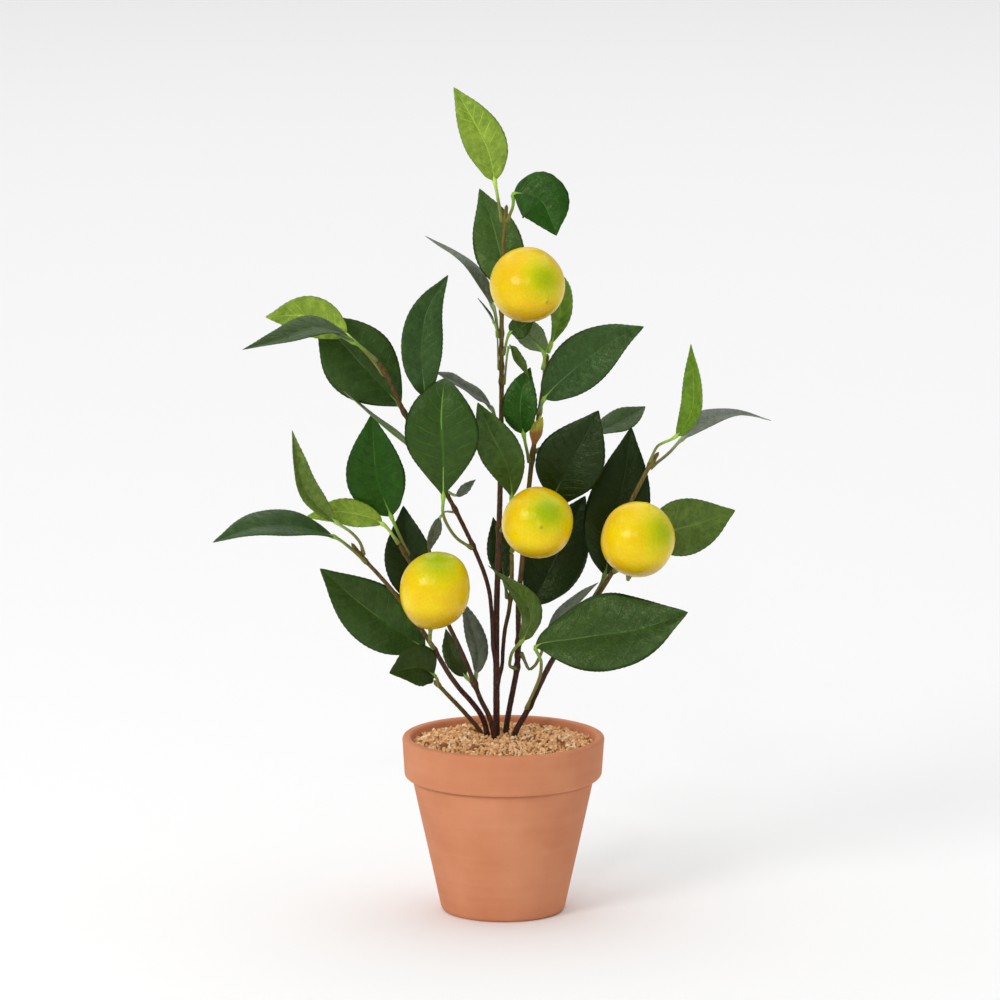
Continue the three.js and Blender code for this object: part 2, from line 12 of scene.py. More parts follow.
import bmesh
import bpy
import numpy as np
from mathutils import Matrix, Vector


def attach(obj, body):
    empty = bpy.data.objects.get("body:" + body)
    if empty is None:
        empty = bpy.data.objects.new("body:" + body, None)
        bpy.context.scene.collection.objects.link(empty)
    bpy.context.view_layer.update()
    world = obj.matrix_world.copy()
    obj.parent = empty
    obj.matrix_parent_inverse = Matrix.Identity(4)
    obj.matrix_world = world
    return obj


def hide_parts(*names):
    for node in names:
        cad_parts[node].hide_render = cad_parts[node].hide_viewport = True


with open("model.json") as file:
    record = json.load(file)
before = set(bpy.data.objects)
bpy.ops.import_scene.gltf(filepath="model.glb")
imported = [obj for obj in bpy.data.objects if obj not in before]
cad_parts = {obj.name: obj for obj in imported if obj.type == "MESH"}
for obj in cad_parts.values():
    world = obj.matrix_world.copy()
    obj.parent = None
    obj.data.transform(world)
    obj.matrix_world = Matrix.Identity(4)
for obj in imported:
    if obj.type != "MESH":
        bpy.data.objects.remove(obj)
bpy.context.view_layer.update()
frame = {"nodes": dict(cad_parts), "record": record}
NODES = frame["nodes"]
MM = 0.001
LEAF_NODES = sorted(name for name in NODES if name.startswith("leaf_"))
STEM_NODES = sorted(name for name in NODES if name.startswith("stem_"))
LEMON_NODES = sorted(name for name in NODES if name.startswith("lemon_"))
STALK_NODES = sorted(name for name in NODES if name.startswith("stalk_"))
print(len(LEAF_NODES), "leaves,", len(STEM_NODES), "stems,", len(LEMON_NODES), "lemons")

# %% [markdown]
# ## The camera
#
# A long lens from a few metres away keeps the pot's sides nearly straight, as a catalogue picture does.
# The camera stands a little above the tree and looks down by ten degrees, so the pot's mouth shows as a
# flat oval. It is set first, because every later step is judged through it.

# %% Set up the camera
CAMERA_PLACE = (-0.0019, -3.5, 0.8681)
CAMERA_TILT = math.radians(79.94)
CAMERA_LENS = 217.1  # the lens and the sensor are in mm
CAMERA_SENSOR = 36
FARTHEST_SEEN = 50


def add_object(name, data):
    """A new object in the scene, at the origin."""
    made = bpy.data.objects.new(name, data)
    bpy.context.scene.collection.objects.link(made)
    return made


camera_data = bpy.data.cameras.new("catalogue_camera")
camera_data.lens = CAMERA_LENS
camera_data.sensor_width = CAMERA_SENSOR
camera_data.clip_end = FARTHEST_SEEN
camera = add_object("catalogue_camera", camera_data)
camera.location = CAMERA_PLACE
camera.rotation_euler = (CAMERA_TILT, 0, 0)
bpy.context.scene.camera = camera
print("camera", tuple(round(value, 3) for value in camera.location))

# %% [markdown]
# ## Reading the coarse pieces
#
# Each stem, petiole and leaf was lofted: rings of corners joined one to the next, with one corner at each
# end. Counting edges from an end corner gives the rings back in order, whatever order the file keeps them
# in. That way the fine pieces follow the frame, and no list of sizes has to be written twice.

# %% Rings of a lofted piece
WELD = 1e-6


def welded(node):
    """A node's corners, and the numbers of each one's neighbours."""
    body = bmesh.new()
    body.from_mesh(NODES[node].data)
    bmesh.ops.remove_doubles(body, verts=body.verts, dist=WELD)
    body.verts.index_update()
    corners = np.array([corner.co[:] for corner in body.verts])
    neighbours = [[edge.other_vert(corner).index for edge in corner.link_edges] for corner in body.verts]
    body.free()
    return corners, neighbours


def levels_from(start, neighbours):
    """Corner numbers in groups, by how many edges they lie from the start."""
    levels = [[start]]
    seen = {start}
    while levels[-1]:
        step = {other for corner in levels[-1] for other in neighbours[corner]} - seen
        seen |= step
        levels.append(sorted(step))
    return levels[:-1]


def around(ring, neighbours):
    """A ring's corners in the order that they follow each other."""
    members = set(ring)
    ordered = [ring[0]]
    while len(ordered) < len(ring):
        nexts = [other for other in neighbours[ordered[-1]] if other in members and other not in ordered]
        ordered.append(nexts[0])
    return ordered


def rings_of(node):
    """The two end corners of a lofted node and the rings between them, each as an array of places."""
    corners, neighbours = welded(node)
    from_anywhere = [corner for level in levels_from(0, neighbours) for corner in level]
    for start in reversed(from_anywhere):
        levels = levels_from(start, neighbours)
        if len({len(level) for level in levels[1:-1]}) == 1 and len(levels[-1]) == 1:
            break
    rings = [corners[around(level, neighbours)] for level in levels[1:-1]]
    return corners[levels[0][0]], rings, corners[levels[-1][0]]


def reversed_loft(loft):
    start, rings, end = loft
    return end, rings[::-1], start


for name in ("leaf_front_broad", "stem_leader", "stalk_left_lemon"):
    start, rings, end = rings_of(name)
    print(name, len(rings), "rings of", len(rings[0]))

# %% Curves through the rings
def unit(vector):
    return vector / np.linalg.norm(vector, axis=-1, keepdims=True)


def run_length(points):
    """Distance along a line of points, from 0 at the first."""
    steps = np.linalg.norm(np.diff(points, axis=0), axis=1)
    return np.concatenate([[0.0], np.cumsum(steps)])


def smooth_through(stations, values, at):
    """Values at new places along a smooth curve that passes through the known ones."""
    stations = np.asarray(stations, float)
    values = np.asarray(values, float)
    slopes = np.empty_like(values)
    widths = np.diff(stations)
    if values.ndim > 1:
        widths = widths[:, None]
    steps = np.diff(values, axis=0) / widths
    slopes[0] = steps[0]
    slopes[-1] = steps[-1]
    slopes[1:-1] = (steps[:-1] * widths[1:] + steps[1:] * widths[:-1]) / (widths[1:] + widths[:-1])
    low = np.clip(np.searchsorted(stations, at, side="right") - 1, 0, len(stations) - 2)
    gap = stations[low + 1] - stations[low]
    share = (at - stations[low]) / gap
    if values.ndim > 1:
        share = share[:, None]
        gap = gap[:, None]
    rest = 1 - share
    start_part = values[low] * (1 + 2 * share) * rest ** 2 + slopes[low] * gap * share * rest ** 2
    end_part = values[low + 1] * share ** 2 * (3 - 2 * share) - slopes[low + 1] * gap * share ** 2 * rest
    return start_part + end_part


def smooth_step(low, high, value):
    """0 at low, 1 at high, and a soft S between them."""
    share = np.clip((value - low) / (high - low), 0, 1)
    return share * share * (3 - 2 * share)


def hill(distance, reach, power=2):
    """1 in the middle of a hill, and almost 0 beyond twice its reach."""
    return np.exp(-(distance / reach) ** power)


print("halfway between 0 and 1:", smooth_through([0, 1, 2], [0.0, 1.0, 4.0], np.array([0.5])))

# %% [markdown]
# ## Small helpers for meshes and finishes
#
# A piece is made as arrays of corners and faces, because a leaf or a fruit follows a rule and arrays
# state a rule briefly. Values that the finish needs, such as how far a corner lies from a leaf's midrib,
# are stored on the corners as attributes. Then the pattern grows with the surface and needs no picture.

# %% Pieces from arrays
def new_piece(name, corners, faces, finishes, finish_numbers=None, attributes=None):
    """A smooth-shaded mesh object, with its finishes and the values stored on its corners."""
    mesh = bpy.data.meshes.new(name)
    mesh.from_pydata(np.asarray(corners).tolist(), [], faces)
    for finish in finishes:
        mesh.materials.append(finish)
    if finish_numbers is not None:
        mesh.polygons.foreach_set("material_index", finish_numbers)
    mesh.polygons.foreach_set("use_smooth", [True] * len(mesh.polygons))
    for key, values in (attributes or {}).items():
        store(mesh, key, np.asarray(values, np.float32))
    mesh.validate()
    return add_object(name, mesh)


def store(mesh, key, values):
    """One number, or one group of three, for each corner."""
    if values.ndim == 1:
        mesh.attributes.new(key, "FLOAT", "POINT").data.foreach_set("value", values)
    else:
        mesh.attributes.new(key, "FLOAT_VECTOR", "POINT").data.foreach_set("vector", values.ravel())


def settle(piece, slot, *replaced):
    """The piece joins the frame: it rides on the tree's one body and stands for its coarse nodes."""
    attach(piece, "root")
    if replaced:
        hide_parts(*replaced)


def strip_between(first, second, flip=False):
    """Quads between two rows of corner numbers that don't close on themselves."""
    quads = zip(first[:-1], first[1:], second[1:], second[:-1])
    return [tuple(reversed(quad)) if flip else quad for quad in quads]


def closed_ring(start, sides):
    """The corner numbers of a ring, back to its first."""
    return list(range(start, start + sides)) + [start]


def ring_faces(rings, sides):
    """Quads between rings of corners that follow each other."""
    faces = []
    for row in range(rings - 1):
        faces += strip_between(closed_ring(row * sides, sides), closed_ring((row + 1) * sides, sides))
    return faces


def joined(*skins):
    """The corners and faces of several skins, as those of one mesh."""
    corners = []
    faces = []
    for skin_corners, skin_faces in skins:
        faces += [tuple(number + len(corners) for number in face) for face in skin_faces]
        corners += skin_corners.tolist()
    return np.array(corners), faces


print("helpers for pieces are ready")

# %% Finishes from nodes
def paint(red, green, blue):
    """A colour as a paint chart gives it, in 0 to 255, made linear for the shader."""
    shares = np.array([red, green, blue]) / 255
    linear = np.where(shares <= 0.04045, shares / 12.92, ((shares + 0.055) / 1.055) ** 2.4)
    return (*linear.tolist(), 1.0)


class NodeTree:
    """Any tree of nodes, with short ways to feed a socket and to add a sum."""

    def __init__(self, tree):
        self.tree = tree
        self.nodes = tree.nodes

    def put(self, socket, value):
        """Links another node's output to the socket, or gives the socket a plain value."""
        if isinstance(value, bpy.types.NodeSocket):
            self.tree.links.new(value, socket)
        else:
            socket.default_value = value

    def maths(self, operation, first, second=0.0):
        node = self.nodes.new("ShaderNodeMath")
        node.operation = operation
        self.put(node.inputs[0], first)
        self.put(node.inputs[1], second)
        return node.outputs[0]


class Finish(NodeTree):
    """A material, with short ways to add the nodes that this tree's finishes share."""

    def __init__(self, name):
        self.material = bpy.data.materials.new(name)
        self.material.use_nodes = True
        super().__init__(self.material.node_tree)
        self.shader = self.nodes["Principled BSDF"]

    def set(self, **values):
        for key, value in values.items():
            self.put(self.shader.inputs[key.replace("_", " ")], value)

    def place(self):
        return self.nodes.new("ShaderNodeTexCoord").outputs["Object"]

    def attribute(self, key):
        node = self.nodes.new("ShaderNodeAttribute")
        node.attribute_name = key
        return node

    def noise(self, scale, detail=3.0, roughness=0.5, vector=None):
        node = self.nodes.new("ShaderNodeTexNoise")
        self.put(node.inputs["Vector"], vector or self.place())
        self.put(node.inputs["Scale"], scale)
        self.put(node.inputs["Detail"], detail)
        self.put(node.inputs["Roughness"], roughness)
        return node.outputs["Fac"]

    def cells(self, scale, feature="F1"):
        node = self.nodes.new("ShaderNodeTexVoronoi")
        node.feature = feature
        self.put(node.inputs["Vector"], self.place())
        self.put(node.inputs["Scale"], scale)
        return node.outputs["Distance"]

    def stretched(self, x, y, z):
        node = self.nodes.new("ShaderNodeMapping")
        self.put(node.inputs["Vector"], self.place())
        self.put(node.inputs["Scale"], (x, y, z))
        return node.outputs["Vector"]

    def fade(self, value, low, high, start=0.0, end=1.0):
        """A value between low and high, turned smoothly into one between start and end."""
        node = self.nodes.new("ShaderNodeMapRange")
        node.interpolation_type = "SMOOTHSTEP"
        self.put(node.inputs["Value"], value)
        for key, number in (("From Min", low), ("From Max", high), ("To Min", start), ("To Max", end)):
            self.put(node.inputs[key], number)
        return node.outputs["Result"]

    def blend(self, share, first, second, way="MIX"):
        node = self.nodes.new("ShaderNodeMix")
        node.data_type = "RGBA"
        node.blend_type = way
        sockets = {socket.identifier: socket for socket in node.inputs}
        self.put(sockets["Factor_Float"], share)
        self.put(sockets["A_Color"], first)
        self.put(sockets["B_Color"], second)
        return next(out for out in node.outputs if out.type == "RGBA")

    def relief(self, height, strength, depth, below=None):
        """A bump, with its depth in metres, over any relief below it."""
        node = self.nodes.new("ShaderNodeBump")
        self.put(node.inputs["Height"], height)
        self.put(node.inputs["Strength"], strength)
        self.put(node.inputs["Distance"], depth)
        if below is not None:
            self.put(node.inputs["Normal"], below)
        return node.outputs["Normal"]


print("helpers for finishes are ready")

# %% Soft random fields
def gentle_noise(points, size, seed, waves=14):
    """A smooth random field over places, with bumps of about that size, mostly between -1 and 1."""
    chance = np.random.default_rng(seed)
    directions = unit(chance.normal(size=(waves, 3))) * 2 * math.pi / size
    phases = chance.uniform(0, 2 * math.pi, waves)
    return np.cos(points @ directions.T + phases).sum(axis=1) / math.sqrt(waves)


places = np.random.default_rng(1).normal(size=(500, 3))
print("spread of the field:", gentle_noise(places, 1.0, 2).std().round(2))

# %% [markdown]
# ## The clay pot
#
# A clay pot is pressed or thrown: it is round, its rim is a thick collar, and its edges are worn soft by
# the wet sponge. The coarse pot has flat sides, which would show against the floor. So its outline is
# read back from one column of its corners, each corner is rounded, and the outline is spun again with
# many more sides. A very slight wobble keeps it from looking turned in metal.

# %% The pot's outline
EDGE_ROUNDING = 1.1 * MM
MOST_OF_A_SIDE = 0.45  # the share of a side that the rounding at one of its ends may take
OUTLINE_STEP = 1.5 * MM
LEVEL_WITHIN = 0.1 * MM
RIM_HEIGHTS = (0.3, 0.95)  # the rim's underside lies between these shares of the pot's height
RIM_SHADOW_REACH = 1.5 * MM  # how far the painted shadow under the rim spreads from its corner


def outline_of(node):
    """Radius and height of each corner of a spun node's outline, in order round the section."""
    corners, neighbours = welded(node)
    column = [i for i, (x, y, z) in enumerate(corners) if x > 0 and abs(y) < 10 * WELD]
    return corners[around(column, neighbours)][:, [0, 2]]


def rounded_outline(outline, rounding):
    """The outline with each corner turned into a short curve, and long sides divided."""
    points = []
    for before, corner, after in zip(np.roll(outline, 1, 0), outline, np.roll(outline, -1, 0)):
        reach = min(rounding, *(MOST_OF_A_SIDE * np.linalg.norm(end - corner) for end in (before, after)))
        arrive = corner + unit(before - corner) * reach
        leave = corner + unit(after - corner) * reach
        for share in (0, 0.33, 0.67, 1):
            points.append((1 - share) ** 2 * arrive + 2 * share * (1 - share) * corner + share ** 2 * leave)
    closed = []
    for here, there in zip(points, points[1:] + points[:1]):
        parts = max(1, round(np.linalg.norm(there - here) / OUTLINE_STEP))
        closed += [here + (there - here) * part / parts for part in range(parts)]
    return np.array(closed)


def crease_of(outline):
    """The corner where the rim's flat underside meets the wall."""
    ledges = []
    for here, there in zip(outline, np.roll(outline, -1, 0)):
        level = abs(here[1] - there[1]) < LEVEL_WITHIN
        if level and RIM_HEIGHTS[0] < here[1] / outline[:, 1].max() < RIM_HEIGHTS[1]:
            ledges.append(min(here, there, key=lambda corner: corner[0]))
    return max(ledges, key=lambda corner: corner[0])


pot_outline = rounded_outline(outline_of("pot"), EDGE_ROUNDING)
print(len(pot_outline), "points, rim radius", round(pot_outline[:, 0].max() * 1000, 1), "mm")

# %% The clay's finish
def clay_finish():
    """Unglazed clay: a warm even colour, faint clouds and turning marks, grog specks, and a painted shadow
    under the rim.
    """
    clay = Finish("terracotta_clay")
    clouds = clay.fade(clay.noise(28, 4), 0.3, 0.7)
    colour = clay.blend(clouds, paint(205, 130, 90), paint(215, 144, 105))
    marks = clay.noise(9, 2, vector=clay.stretched(1, 1, 22))
    colour = clay.blend(clay.fade(marks, 0.35, 0.75, 0, 0.16), colour, paint(226, 160, 122))
    specks = clay.fade(clay.noise(1500, 2), 0.63, 0.75, 0, 0.22)
    colour = clay.blend(specks, colour, paint(164, 92, 62))
    # Painted shadow: a dark line on the wall just under the rim's overhang.
    rim_shadow = clay.maths("MULTIPLY", clay.attribute("rim_shadow").outputs["Fac"], 0.6)
    colour = clay.blend(rim_shadow, colour, paint(122, 62, 36))
    grain = clay.relief(clay.noise(2600, 2), 0.35, 0.00025)
    turned = clay.relief(marks, 0.3, 0.0004, grain)
    clay.set(Base_Color=colour, Roughness=clay.fade(clouds, 0, 1, 0.72, 0.86), Normal=turned)
    clay.set(Specular_IOR_Level=0.3)
    return clay.material


clay = clay_finish()
print("finish:", clay.name)

# %% Spin the pot
POT_SIDES = 192
POT_WOBBLE = 0.12 * MM
WOBBLE_LENGTH = 55 * MM


def spin(outline, sides):
    """Corners and faces of an outline turned about the Z axis."""
    angles = np.arange(sides) * 2 * math.pi / sides
    rounds = np.stack([np.cos(angles), np.sin(angles), np.zeros(sides)], axis=1)
    corners = (outline[:, None, 0, None] * rounds[None]).reshape(-1, 3)
    corners[:, 2] = np.repeat(outline[:, 1], sides)
    closing = strip_between(closed_ring(len(corners) - sides, sides), closed_ring(0, sides))
    return corners, ring_faces(len(outline), sides) + closing


def face_outwards(piece):
    """Turns every face of a closed piece to look out."""
    body = bmesh.new()
    body.from_mesh(piece.data)
    bmesh.ops.recalc_face_normals(body, faces=body.faces)
    body.to_mesh(piece.data)
    body.free()


corners, faces = spin(pot_outline, POT_SIDES)
outward = corners * (1, 1, 0)
outward /= np.linalg.norm(outward, axis=1, keepdims=True)
corners += outward * gentle_noise(corners, WOBBLE_LENGTH, 5)[:, None] * POT_WOBBLE
off_crease = np.linalg.norm(pot_outline - crease_of(outline_of("pot")), axis=1)
# Painted shadow under the rim, darkest at the corner where the rim's underside meets the wall.
rim_shadow = np.repeat(hill(off_crease, RIM_SHADOW_REACH), POT_SIDES)
clay_pot = new_piece("clay_pot", corners, faces, [clay], attributes={"rim_shadow": rim_shadow})
face_outwards(clay_pot)
settle(clay_pot, "terracotta", "pot")
print("clay pot:", len(faces), "faces")

# %% [markdown]
# ## The potting soil and the grit
#
# The soil is hidden, but it is there and it has a finish. What shows is a layer of tan bark and grit
# chips, a few millimetres each, that lie every way with dark gaps between them. They could be dropped
# and settled by physics, but nobody sees below the top layer. A thousand pieces that follow one surface
# are what Geometry Nodes are for: a tree scatters points on a bed of bark dust, picks one of a few chip
# shapes for each, turns and stretches it, and joins the lot.

# %% Finishes of soil and chips
def soil_finish():
    soil = Finish("potting_soil_crumbs")
    crumbs = soil.noise(420, 5, 0.7)
    colour = soil.blend(soil.fade(crumbs, 0.35, 0.7), paint(38, 26, 18), paint(92, 66, 46))
    soil.set(Base_Color=colour, Roughness=0.95, Normal=soil.relief(crumbs, 0.8, 0.0012))
    return soil.material


def dust_finish():
    """The bark dust under the chips: brown, and darker in places."""
    dust = Finish("bark_dust")
    crumbs = dust.noise(500, 4, 0.65)
    colour = dust.blend(dust.fade(crumbs, 0.3, 0.7), paint(98, 62, 34), paint(158, 112, 70))
    dust.set(Base_Color=colour, Roughness=0.95, Normal=dust.relief(crumbs, 0.7, 0.0008))
    return dust.material


def chip_finish():
    """Each chip has its own shade, from brown bark to pale grit, and darker fibres run through it."""
    chip = Finish("bark_and_grit_chips")
    shade = chip.attribute("chip_shade").outputs["Fac"]
    colour = chip.blend(chip.fade(shade, 0.1, 0.22), paint(150, 92, 46), paint(222, 166, 108))
    colour = chip.blend(chip.fade(shade, 0.3, 0.7), colour, paint(242, 196, 142))
    colour = chip.blend(chip.fade(shade, 0.85, 1.0), colour, paint(255, 232, 200))
    fibres = chip.noise(1100, 3, 0.6)
    colour = chip.blend(chip.fade(fibres, 0.5, 0.75, 0, 0.3), colour, paint(178, 122, 72))
    chip.set(Base_Color=colour, Roughness=0.88, Normal=chip.relief(fibres, 0.5, 0.0002))
    return chip.material


soil = soil_finish()
dust = dust_finish()
chips = chip_finish()
NODES["potting_soil"].data.materials.clear()
NODES["potting_soil"].data.materials.append(soil)
print("finishes:", soil.name, dust.name, "and", chips.name)

# %% The bed that the chips lie on
BED_RINGS = 26
BED_SIDES = 96
BED_DEPTH = 1.5 * MM  # how far the bed lies under the coarse topping's surface
BED_INSET = 0.3 * MM
BED_SKIRT = 3 * MM
BED_LUMPS = 0.35 * MM
LUMP_LENGTH = 9 * MM
FIRST_RING = 0.002  # the share of the bed's area inside its first ring

topping_corners = welded("bark_topping")[0]
topping_radius = np.hypot(topping_corners[:, 0], topping_corners[:, 1])
bed_radius = topping_radius.max() - BED_INSET
bed_edge = topping_corners[topping_radius > 0.97 * topping_radius.max()][:, 2].max()
bed_top = topping_corners[:, 2].max()


def chip_bed():
    """A low dome with a skirt, closed underneath, on which the chips are scattered."""
    shares = np.sqrt(np.linspace(FIRST_RING, 1, BED_RINGS))
    outline = [(bed_radius * share, bed_edge + (bed_top - bed_edge) * (1 - share ** 2) - BED_DEPTH)
               for share in shares]
    outline.append((bed_radius, bed_edge - BED_SKIRT))
    outline.append((bed_radius * shares[0], bed_edge - BED_SKIRT))
    corners, faces = spin(np.array(outline), BED_SIDES)
    top = BED_RINGS * BED_SIDES
    corners[:top, 2] += gentle_noise(corners[:top], LUMP_LENGTH, 11) * BED_LUMPS
    first_ring = list(range(BED_SIDES))
    last_ring = list(range(len(corners) - BED_SIDES, len(corners)))
    faces = [face for face in faces if not (set(face) & set(first_ring) and set(face) & set(last_ring))]
    faces += [tuple(first_ring), tuple(reversed(last_ring))]
    bed = new_piece("grit_topping", corners, faces, [dust])
    face_outwards(bed)
    return bed


grit = chip_bed()
print("bed radius", round(bed_radius * 1000, 1), "mm")

# %% A Geometry Nodes tree for what is scattered
class Growth(NodeTree):
    """A Geometry Nodes tree with named inputs, and short ways to add and link its nodes."""

    def __init__(self, name, **inputs):
        super().__init__(bpy.data.node_groups.new(name, "GeometryNodeTree"))
        self.tree.interface.new_socket("Geometry", in_out="INPUT", socket_type="NodeSocketGeometry")
        self.tree.interface.new_socket("Geometry", in_out="OUTPUT", socket_type="NodeSocketGeometry")
        self.names = {}
        for key, kind in inputs.items():
            title = key.replace("_", " ")
            socket = self.tree.interface.new_socket(title, in_out="INPUT", socket_type="NodeSocket" + kind)
            self.names[title] = socket.identifier
        self.start = self.nodes.new("NodeGroupInput")
        self.end = self.nodes.new("NodeGroupOutput")

    def given(self, title):
        return self.start.outputs[title]

    def add(self, kind, settings=None, **sockets):
        """A new node with those settings and sockets. Gives its first output in use."""
        node = self.nodes.new(kind)
        for key, value in (settings or {}).items():
            setattr(node, key, value)
        for key, value in sockets.items():
            title = key.replace("_", " ")
            self.put(next(item for item in node.inputs if item.name == title and item.enabled), value)
        return next(output for output in node.outputs if output.enabled)

    def above(self, value, least):
        return self.add("FunctionNodeCompare", {"operation": "GREATER_THAN"}, A=value, B=least)

    def scaled(self, vector, scale):
        return self.add("ShaderNodeVectorMath", {"operation": "SCALE"}, Vector=vector, Scale=scale)

    def random(self, kind, least, most):
        return self.add("FunctionNodeRandomValue", {"data_type": kind}, Seed=self.given("Seed"),
                        Min=least, Max=most)

    def join(self, parts):
        together = self.nodes.new("GeometryNodeJoinGeometry")
        for part in parts:
            self.put(together.inputs[0], part)
        return together.outputs[0]

    def finish(self, geometry, material, **selection):
        """Ends the tree: the instances become real faces, and those that are selected get the material."""
        loose = self.add("GeometryNodeRealizeInstances", Geometry=geometry)
        dressed = self.add("GeometryNodeSetMaterial", Geometry=loose, Material=self.given(material),
                           **selection)
        self.put(self.end.inputs[0], dressed)

    def apply(self, piece, **values):
        """Runs the tree on a piece and keeps the result as its plain mesh."""
        modifier = piece.modifiers.new(self.tree.name, "NODES")
        modifier.node_group = self.tree
        for key, value in values.items():
            modifier[self.names[key.replace("_", " ")]] = value
        bpy.context.view_layer.update()
        grown = bpy.data.meshes.new_from_object(piece.evaluated_get(bpy.context.evaluated_depsgraph_get()))
        piece.modifiers.clear()
        piece.data = grown
        return piece


print("helpers for Geometry Nodes are ready")

# %% Scatter the chips
CHIP_SHAPES = 4
CHIP_SPACING = 2.2 * MM
CHIP_SIZE = 4.0 * MM
MOST_CHIPS = 900000.0  # on a square metre, before those that lie too close are dropped
LEAST_UPWARD = 0.5  # chips lie where the bed faces up at least this much
LOWEST_SHADE = 0.05  # above 0, so that a chip can be told from the bed


def chip_shape(growth, number):
    """A small rounded block, with its corners pushed about by noise."""
    cube = growth.add("GeometryNodeMeshCube", Size=(1.1, 0.8 + 0.1 * number, 0.6))
    rounded = growth.add("GeometryNodeSubdivisionSurface", Mesh=cube, Level=1)
    where = growth.add("ShaderNodeVectorMath", Vector=growth.add("GeometryNodeInputPosition"))
    where.node.inputs[1].default_value = (5.0 * number, 0, 0)
    chance = growth.add("ShaderNodeTexNoise", Vector=where, Scale=1.7, Detail=1.0)
    push = growth.add("ShaderNodeVectorMath", {"operation": "SUBTRACT"}, Vector=chance.node.outputs["Color"])
    push.node.inputs[1].default_value = (0.5, 0.5, 0.5)
    offset = growth.scaled(push, growth.given("Roughness"))
    chip = growth.add("GeometryNodeSetPosition", Geometry=rounded, Offset=offset)
    return growth.add("GeometryNodeGeometryToInstance", Geometry=chip)


def chip_scatter():
    """The bed with a chip on each scattered point, and the chip finish on the chips alone."""
    growth = Growth("chip_scatter", Spacing="Float", Chip_size="Float", Roughness="Float", Seed="Int",
                    Chip_finish="Material")
    bed = growth.given("Geometry")
    facing = growth.add("ShaderNodeSeparateXYZ", Vector=growth.add("GeometryNodeInputNormal"))
    level = growth.above(facing.node.outputs["Z"], LEAST_UPWARD)
    points = growth.add("GeometryNodeDistributePointsOnFaces", {"distribute_method": "POISSON"}, Mesh=bed,
                        Selection=level, Distance_Min=growth.given("Spacing"), Density_Max=MOST_CHIPS,
                        Density_Factor=1.0, Seed=growth.given("Seed"))
    shapes = growth.join(chip_shape(growth, number) for number in range(CHIP_SHAPES))
    turn = growth.random("FLOAT_VECTOR", (0, 0, 0), (2 * math.pi, 2 * math.pi, 2 * math.pi))
    stretch = growth.random("FLOAT_VECTOR", (0.75, 0.6, 0.6), (1.45, 1.2, 1.1))
    choice = growth.random("INT", 0, CHIP_SHAPES - 1)
    size = growth.scaled(stretch, growth.given("Chip size"))
    scattered = growth.add("GeometryNodeInstanceOnPoints", Points=points, Instance=shapes,
                           Pick_Instance=True, Instance_Index=choice, Rotation=turn, Scale=size)
    shaded = growth.add("GeometryNodeStoreNamedAttribute", {"domain": "INSTANCE"}, Geometry=scattered,
                        Name="chip_shade", Value=growth.random("FLOAT", LOWEST_SHADE, 1.0))
    kept_shade = growth.add("GeometryNodeInputNamedAttribute", Name="chip_shade")
    is_chip = growth.above(kept_shade, LOWEST_SHADE / 2)
    growth.finish(growth.join([bed, shaded]), "Chip finish", Selection=is_chip)
    return growth


scatter = chip_scatter()
scatter.apply(grit, Spacing=CHIP_SPACING, Chip_size=CHIP_SIZE, Roughness=0.55, Seed=7, Chip_finish=chips)
settle(grit, "bark_topping", "bark_topping")
print("grit topping:", len(grit.data.polygons), "faces,", [item.name for item in grit.data.attributes])

# %% [markdown]
# ## Stems
#
# A young citrus stem is a thin round rod, dark brown and finely ridged below and olive where it is young.
# It thickens into a knot wherever a leaf has grown. A bevelled curve could make it, but its bark would
# then be only a bump. The tree of nodes below turns a line of points into such a rod: the line carries a
# girth and an age, Curve to Mesh makes the skin, and noise along the normals makes the bark. The knots
# need no list, because the place where each leaf stalk starts is known. Two stems fork from the leader,
# so their lines are drawn on into the middle of it.

# %% The finish of bark
def bark_finish():
    """Brown bark with fine ridges along the stem, olive where the stem is young, and pale pores."""
    bark = Finish("ridged_bark")
    youth = bark.attribute("youth").outputs["Fac"]
    ridges = bark.noise(1, 4, 0.6, vector=bark.stretched(900, 900, 170))
    old = bark.blend(bark.fade(ridges, 0.3, 0.7), paint(42, 20, 12), paint(84, 48, 34))
    young = bark.blend(bark.fade(ridges, 0.3, 0.7), paint(98, 86, 36), paint(142, 128, 58))
    colour = bark.blend(youth, old, young)
    pores = bark.fade(bark.cells(420), 0.0, 0.28, 0.6, 0.0)
    colour = bark.blend(pores, colour, paint(136, 108, 82))
    ridged = bark.relief(ridges, 0.6, 0.0004)
    bark.set(Base_Color=colour, Roughness=0.62, Normal=ridged)
    bark.set(Specular_IOR_Level=0.25)
    return bark.material


bark = bark_finish()
print("finish:", bark.name)

# %% The stem tree
def stem_growth():
    """A rod along a line of points, as thick as the line's girth says, and rough as bark."""
    growth = Growth("stem_along_a_line", Sides="Int", Bark_depth="Float", Bark_scale="Float",
                    Bark_finish="Material")
    line = growth.add("GeometryNodeMeshToCurve", Mesh=growth.given("Geometry"))
    section = growth.add("GeometryNodeCurvePrimitiveCircle", Resolution=growth.given("Sides"), Radius=1.0)
    girth = growth.add("GeometryNodeInputNamedAttribute", Name="girth")
    rod = growth.add("GeometryNodeCurveToMesh", Curve=line, Profile_Curve=section, Scale=girth,
                     Fill_Caps=True)
    bumps = growth.add("ShaderNodeTexNoise", Scale=growth.given("Bark scale"), Detail=2.0,
                       Vector=growth.add("GeometryNodeInputPosition"))
    depth = growth.maths("MULTIPLY", growth.maths("SUBTRACT", bumps, 0.5), growth.given("Bark depth"))
    push = growth.scaled(growth.add("GeometryNodeInputNormal"), depth)
    barked = growth.add("GeometryNodeSetPosition", Geometry=rod, Offset=push)
    smooth = growth.add("GeometryNodeSetShadeSmooth", Geometry=barked, Shade_Smooth=True)
    growth.finish(smooth, "Bark finish")
    return growth


stem_tree = stem_growth()
print("inputs:", list(stem_tree.names))

